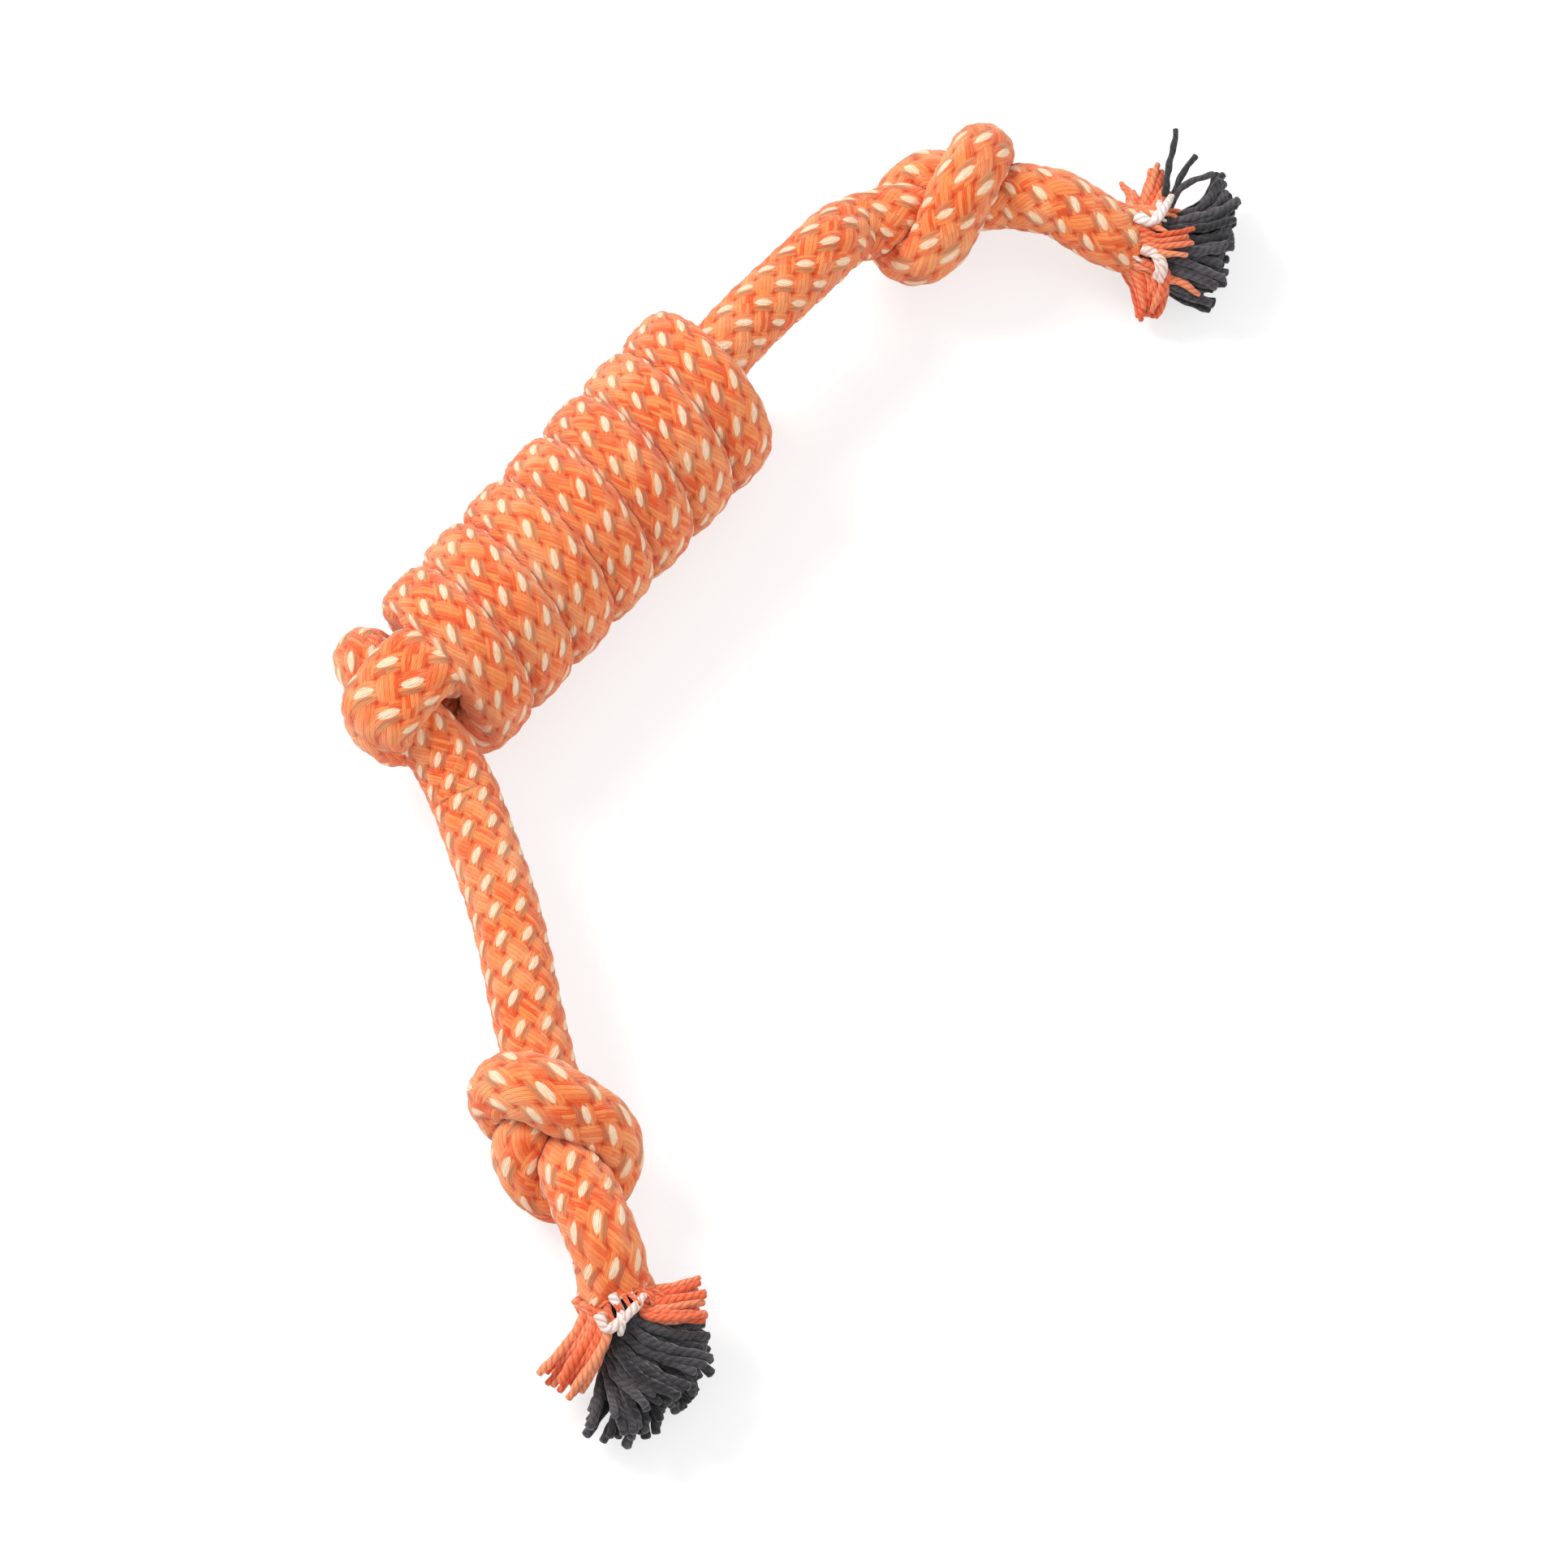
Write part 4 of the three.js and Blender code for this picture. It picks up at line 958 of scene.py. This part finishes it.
class Yarns:
    """Loose yarns gathered in one mesh, each a thin twisted tube with a blunt end."""

    def __init__(self, seed):
        self.random = np.random.default_rng(seed)
        self.points, self.faces, self.uvs, self.tones, self.pales, self.count = [], [], [], [], [], 0

    def add(self, controls, radius, pale=0.0, tip=0.75):
        path, = resample(catmull(controls, YARN_STEPS), YARN_STEP)
        s = distances(path)
        phase = self.random.uniform(*PHASES, 3)
        share = s / s[-1]
        wobbling = np.sin(s[:, None] * self.random.uniform(*WOBBLE_TURNS) + phase)
        path = path + WOBBLE * share[:, None] * wobbling
        way = unit(np.gradient(path, axis=0))
        up = np.cross(way, unit(np.cross(Z + 0.01 * X, way)))
        side = np.cross(up, way)
        turn = self.random.uniform(*PHASES)
        around = FULL_TURN * np.arange(YARN_SIDES) / YARN_SIDES
        lobes = 1 + PLY_DEPTH * np.cos(PLIES * around + turn + PLY_TURN * s[:, None])
        size = radius * (1 - (1 - tip) * share ** 3) * (1 + THICK_SHARE * np.sin(s * THICK_TURN + phase[0]))
        ways = np.cos(around)[:, None] * side[:, None] + np.sin(around)[:, None] * up[:, None]
        rings = list(path[:, None] + (size[:, None] * lobes)[:, :, None] * ways)
        for past, end_share, _ in BLUNT_END:
            rings.append(path[-1] + way[-1] * radius * past + (rings[-1] - path[-1]) * end_share)
        s = np.append(s, [s[-1] + run for *_, run in BLUNT_END])
        rings = np.array(rings)
        rings[:, :, 2] = np.maximum(rings[:, :, 2], YARN_FLOOR_GAP)
        faces, i, k = grid_faces(len(rings), YARN_SIDES)
        count = len(rings) * YARN_SIDES
        self.points.append(rings.reshape(-1, 3))
        self.faces.append(faces + self.count)
        self.count += count
        u = np.stack([s[i], s[i], s[i + 1], s[i + 1]], 1)
        v = np.stack([k, k + 1, k + 1, k], 1) / YARN_SIDES
        self.uvs.append(np.stack([u, v], 2).reshape(-1, 2))
        self.tones.append(np.full(count, self.random.uniform()))
        self.pales.append(np.full(count, pale))

    def build(self, name, material):
        obj = new_object(name, np.vstack(self.points), np.vstack(self.faces), material)
        layer = obj.data.uv_layers.new(name="yarn")
        layer.data.foreach_set("uv", np.vstack(self.uvs).astype(np.float32).ravel())
        for attribute_name, values in (("tone", self.tones), ("pale", self.pales)):
            attribute = obj.data.attributes.new(attribute_name, "FLOAT", "POINT")
            attribute.data.foreach_set("value", np.concatenate(values).astype(np.float32))
        return obj


def bunch(count, layers, roots, tips, radius=(0.5, 0.7), arch=0.6, pale=0.0):
    return {"count": count, "layers": layers, "roots": roots, "tips": tips, "radius": radius, "arch": arch,
            "pale": pale}


# The tufts, bunches of the sheath's yarns, with their roots and tips as seen in the main view
NEAR_TUFTS = [
    bunch(8, 3, ((-5.6, -0.6, 1.5), (-1.4, -2.2, 5)), ((-11.2, -9.0, -1.5), (-6.2, -11.4, 0.5))),
    bunch(7, 3, ((3.8, 3.0, 2.5), (3.4, -0.8, 5)), ((11.0, 4.4, 2.5), (11.4, -1.2, 4.5))),
    bunch(1, 1, ((-2.0, -2.4, 5.6), (-1.9, -2.4, 5.6)), ((3.4, 2.6, 5.8), (3.5, 2.6, 5.8)),
          (0.7, 0.75), 0.8, 1.0),
    bunch(1, 1, ((-0.2, 0.2, 5.6), (-0.1, 0.2, 5.6)), ((0.4, -3.6, 5.8), (0.5, -3.6, 5.8)), pale=1.0),
]
FAR_TUFTS = [
    bunch(11, 3, ((-5.4, -0.6, 1.0), (3.0, -5.2, 3.0)), ((-0.8, -10.8, -2.5), (0.8, -9.8, -1.5)), arch=0.2),
    bunch(5, 3, ((-2.6, 4.6, 1.5), (1.0, 4.6, 3.5)), ((0.6, 12.4, 1.5), (3.6, 9.4, 2.5))),
    bunch(3, 1, ((-2.8, 4.4, 1.5), (-2.2, 4.6, 1.5)), ((-3.4, 9.4, 0.5), (-2.2, 9.0, 0.5))),
    bunch(4, 2, ((0.6, 1.0, 6.0), (1.2, -2.4, 5.0)), ((6.4, 2.2, 6.0), (5.8, -2.4, 5.5)), (0.4, 0.5)),
    bunch(2, 1, ((-0.2, 2.4, 6.0), (0.8, 2.8, 6.0)), ((1.2, 7.6, 4.8), (4.4, 7.4, 4.8)),
          (0.6, 0.75), pale=1.0),
    bunch(2, 1, ((0.8, -2.4, 5.0), (1.6, -2.6, 5.0)), ((1.4, -6.8, 2.5), (2.2, -6.6, 2.5)),
          (0.65, 0.75), pale=1.0),
    bunch(2, 1, ((2.6, -5.4, 2.0), (2.8, -5.8, 2.0)), ((7.6, -7.6, 0.5), (7.4, -8.4, 0.0))),
]
# Each tassel. The brush's fan is in degrees over the main view, with its yarns' lengths from one
# side of it to the other, and strays are single core yarns.
TASSELS = {
    "near": {"seed": 11, "count": 92, "fan": (-107, -10), "lengths": (16.6, 17.4, 15.8, 15.4, 14.4, 11.5),
             "strays": [], "tufts": NEAR_TUFTS},
    "far": {"seed": 12, "count": 88, "fan": (-44, 46), "lengths": (13.6, 12.8, 12.6, 13.6, 15.5, 16.5),
            "strays": [((3.2, 9.5, 4), (4.4, 17.6, 4)), ((5, 9.2, 4), (7.4, 13.4, 4)),
                       ((5.2, 8.2, 4), (10.2, 10.9, 4))],
            "tufts": FAR_TUFTS},
}
GOLDEN_ANGLE = 2.39996
SHEATH_SEED = 10
MOUTH_YARNS = 44
PALE_EVERY = 9
LAYER_DROP = 1.1
LOWEST_TIP = 0.7
# How each kind of yarn is laid. A pair is the range of a random draw, but the core's room is the
# heights that its tips keep between, and the mouth's inside is how far back and how far in.
CORE = {"radius": (0.6, 0.8), "tip": 0.9, "place": (-0.1, 0.1), "length": (0.86, 1.02), "mouth": 4.2,
        "inside": 4, "straight": 4.5, "bend": 0.35, "apart": 1.2, "level": 0.85, "high": 5.2,
        "rise": (-0.8, 0.8), "room": (0.8, 13)}
STRAY = {"radius": 0.55, "tip": 0.8}
TUFT = {"inside": 2.4, "forward": 0.6, "length": (0.84, 1.06), "stray": (-0.5, 0.5)}
MOUTH = {"radius": (0.36, 0.52), "tip": 0.6, "place": (-0.3, 0.3), "at": 0.93, "length": (1.2, 3.0),
         "out": (0.2, 1.4), "inside": (2.6, 0.7), "bow": 0.2}


def brush_yarns(core, end, way, across, up, facts):
    """The core's yarns fanning out of the sheath, tips cut off along a curve."""
    draw = core.random.uniform
    spots = np.linspace(0, 1, len(facts["lengths"]))
    for k in range(facts["count"]):
        share = math.sqrt((k + 0.5) / facts["count"])
        wide, high = share * math.cos(GOLDEN_ANGLE * k), share * math.sin(GOLDEN_ANGLE * k)
        outward = across * wide + up * high
        base = end + CORE["mouth"] * outward
        place = 0.5 + 0.5 * wide + draw(*CORE["place"])
        turn = math.radians(np.interp(place, [0, 1], facts["fan"]))
        length = np.interp(place, spots, facts["lengths"]) * draw(*CORE["length"])
        tip = end + seen(length * math.cos(turn), length * math.sin(turn))
        tip[2] = np.clip(end[2] * CORE["level"] + CORE["high"] * high + draw(*CORE["rise"]), *CORE["room"])
        straight = way * CORE["straight"]
        middle = base + straight + (tip - base - straight) * CORE["bend"] + outward * CORE["apart"]
        core.add([base - way * CORE["inside"], base, middle, tip], draw(*CORE["radius"]), tip=CORE["tip"])


def tuft(yarns, end, way, facts):
    """A bunch of loose yarns from a line of roots to a line of tips, both as seen in the main view."""
    first, last = (np.array(place, float) for place in facts["roots"])
    start, stop = (np.array(place, float) for place in facts["tips"])
    draw = yarns.random.uniform
    for layer in range(facts["layers"]):
        for k in range(facts["count"]):
            share = (k + 0.5) / facts["count"]
            depth = Z * -LAYER_DROP * layer
            base = end + seen(*changed(first, last, share)) + depth
            reach = seen(*changed(start, stop, share)) * draw(*TUFT["length"])
            tip = end + reach + depth + draw(*TUFT["stray"], 3)
            tip[2] = max(LOWEST_TIP, tip[2])
            middle = (base + tip) / 2 + Z * facts["arch"] + way * TUFT["forward"]
            yarns.add([base - way * TUFT["inside"], base, middle, tip], draw(*facts["radius"]), facts["pale"])


def mouth_yarns(yarns, end, way, across, up):
    """Short ends of the sheath's yarns all round its mouth."""
    draw = yarns.random.uniform
    for k in range(MOUTH_YARNS):
        angle = FULL_TURN * (k + draw(*MOUTH["place"])) / MOUTH_YARNS
        side = across * math.cos(angle) + up * math.sin(angle)
        base = end + side * ROPE_RADIUS * (1 + MOUTH_FLARE) * MOUTH["at"]
        length = draw(*MOUTH["length"])
        tip = base + way * length + side * draw(*MOUTH["out"])
        back, inward = MOUTH["inside"]
        root = base - way * back - side * inward
        yarns.add([root, base, (base + tip) / 2 + side * MOUTH["bow"], tip], draw(*MOUTH["radius"]),
                  float(k % PALE_EVERY == 0), MOUTH["tip"])


def tassel(side):
    """The frayed yarns and the brush at one end of the rope."""
    at = len(line) - 1 if side == "near" else 0
    end, way = line[at], unit(forward[at] * WAYS[side])
    across, up = frame_side[at] * WAYS[side], frame_up[at]
    facts = TASSELS[side]
    core = Yarns(facts["seed"])
    sheath = Yarns(facts["seed"] + SHEATH_SEED)
    brush_yarns(core, end, way, across, up, facts)
    for root, tip in facts["strays"]:
        root, tip = end + seen(*root), end + seen(*tip)
        core.add([end + way, (end + way + root) / 2, root, tip], **STRAY)
    mouth_yarns(sheath, end, way, across, up)
    for bunch_facts in facts["tufts"]:
        tuft(sheath, end, way, bunch_facts)
    fray = sheath.build(f"{side}_frayed_yarns", sheath_yarn)
    brush = core.build(f"{side}_core_yarns", core_yarn)
    for piece in (fray, brush):
        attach(piece, f"{side}_tassel")
    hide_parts(f"{side}_fray")
    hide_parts(f"{side}_brush")
    return fray, brush


for side in LEGS:
    fray, brush = tassel(side)
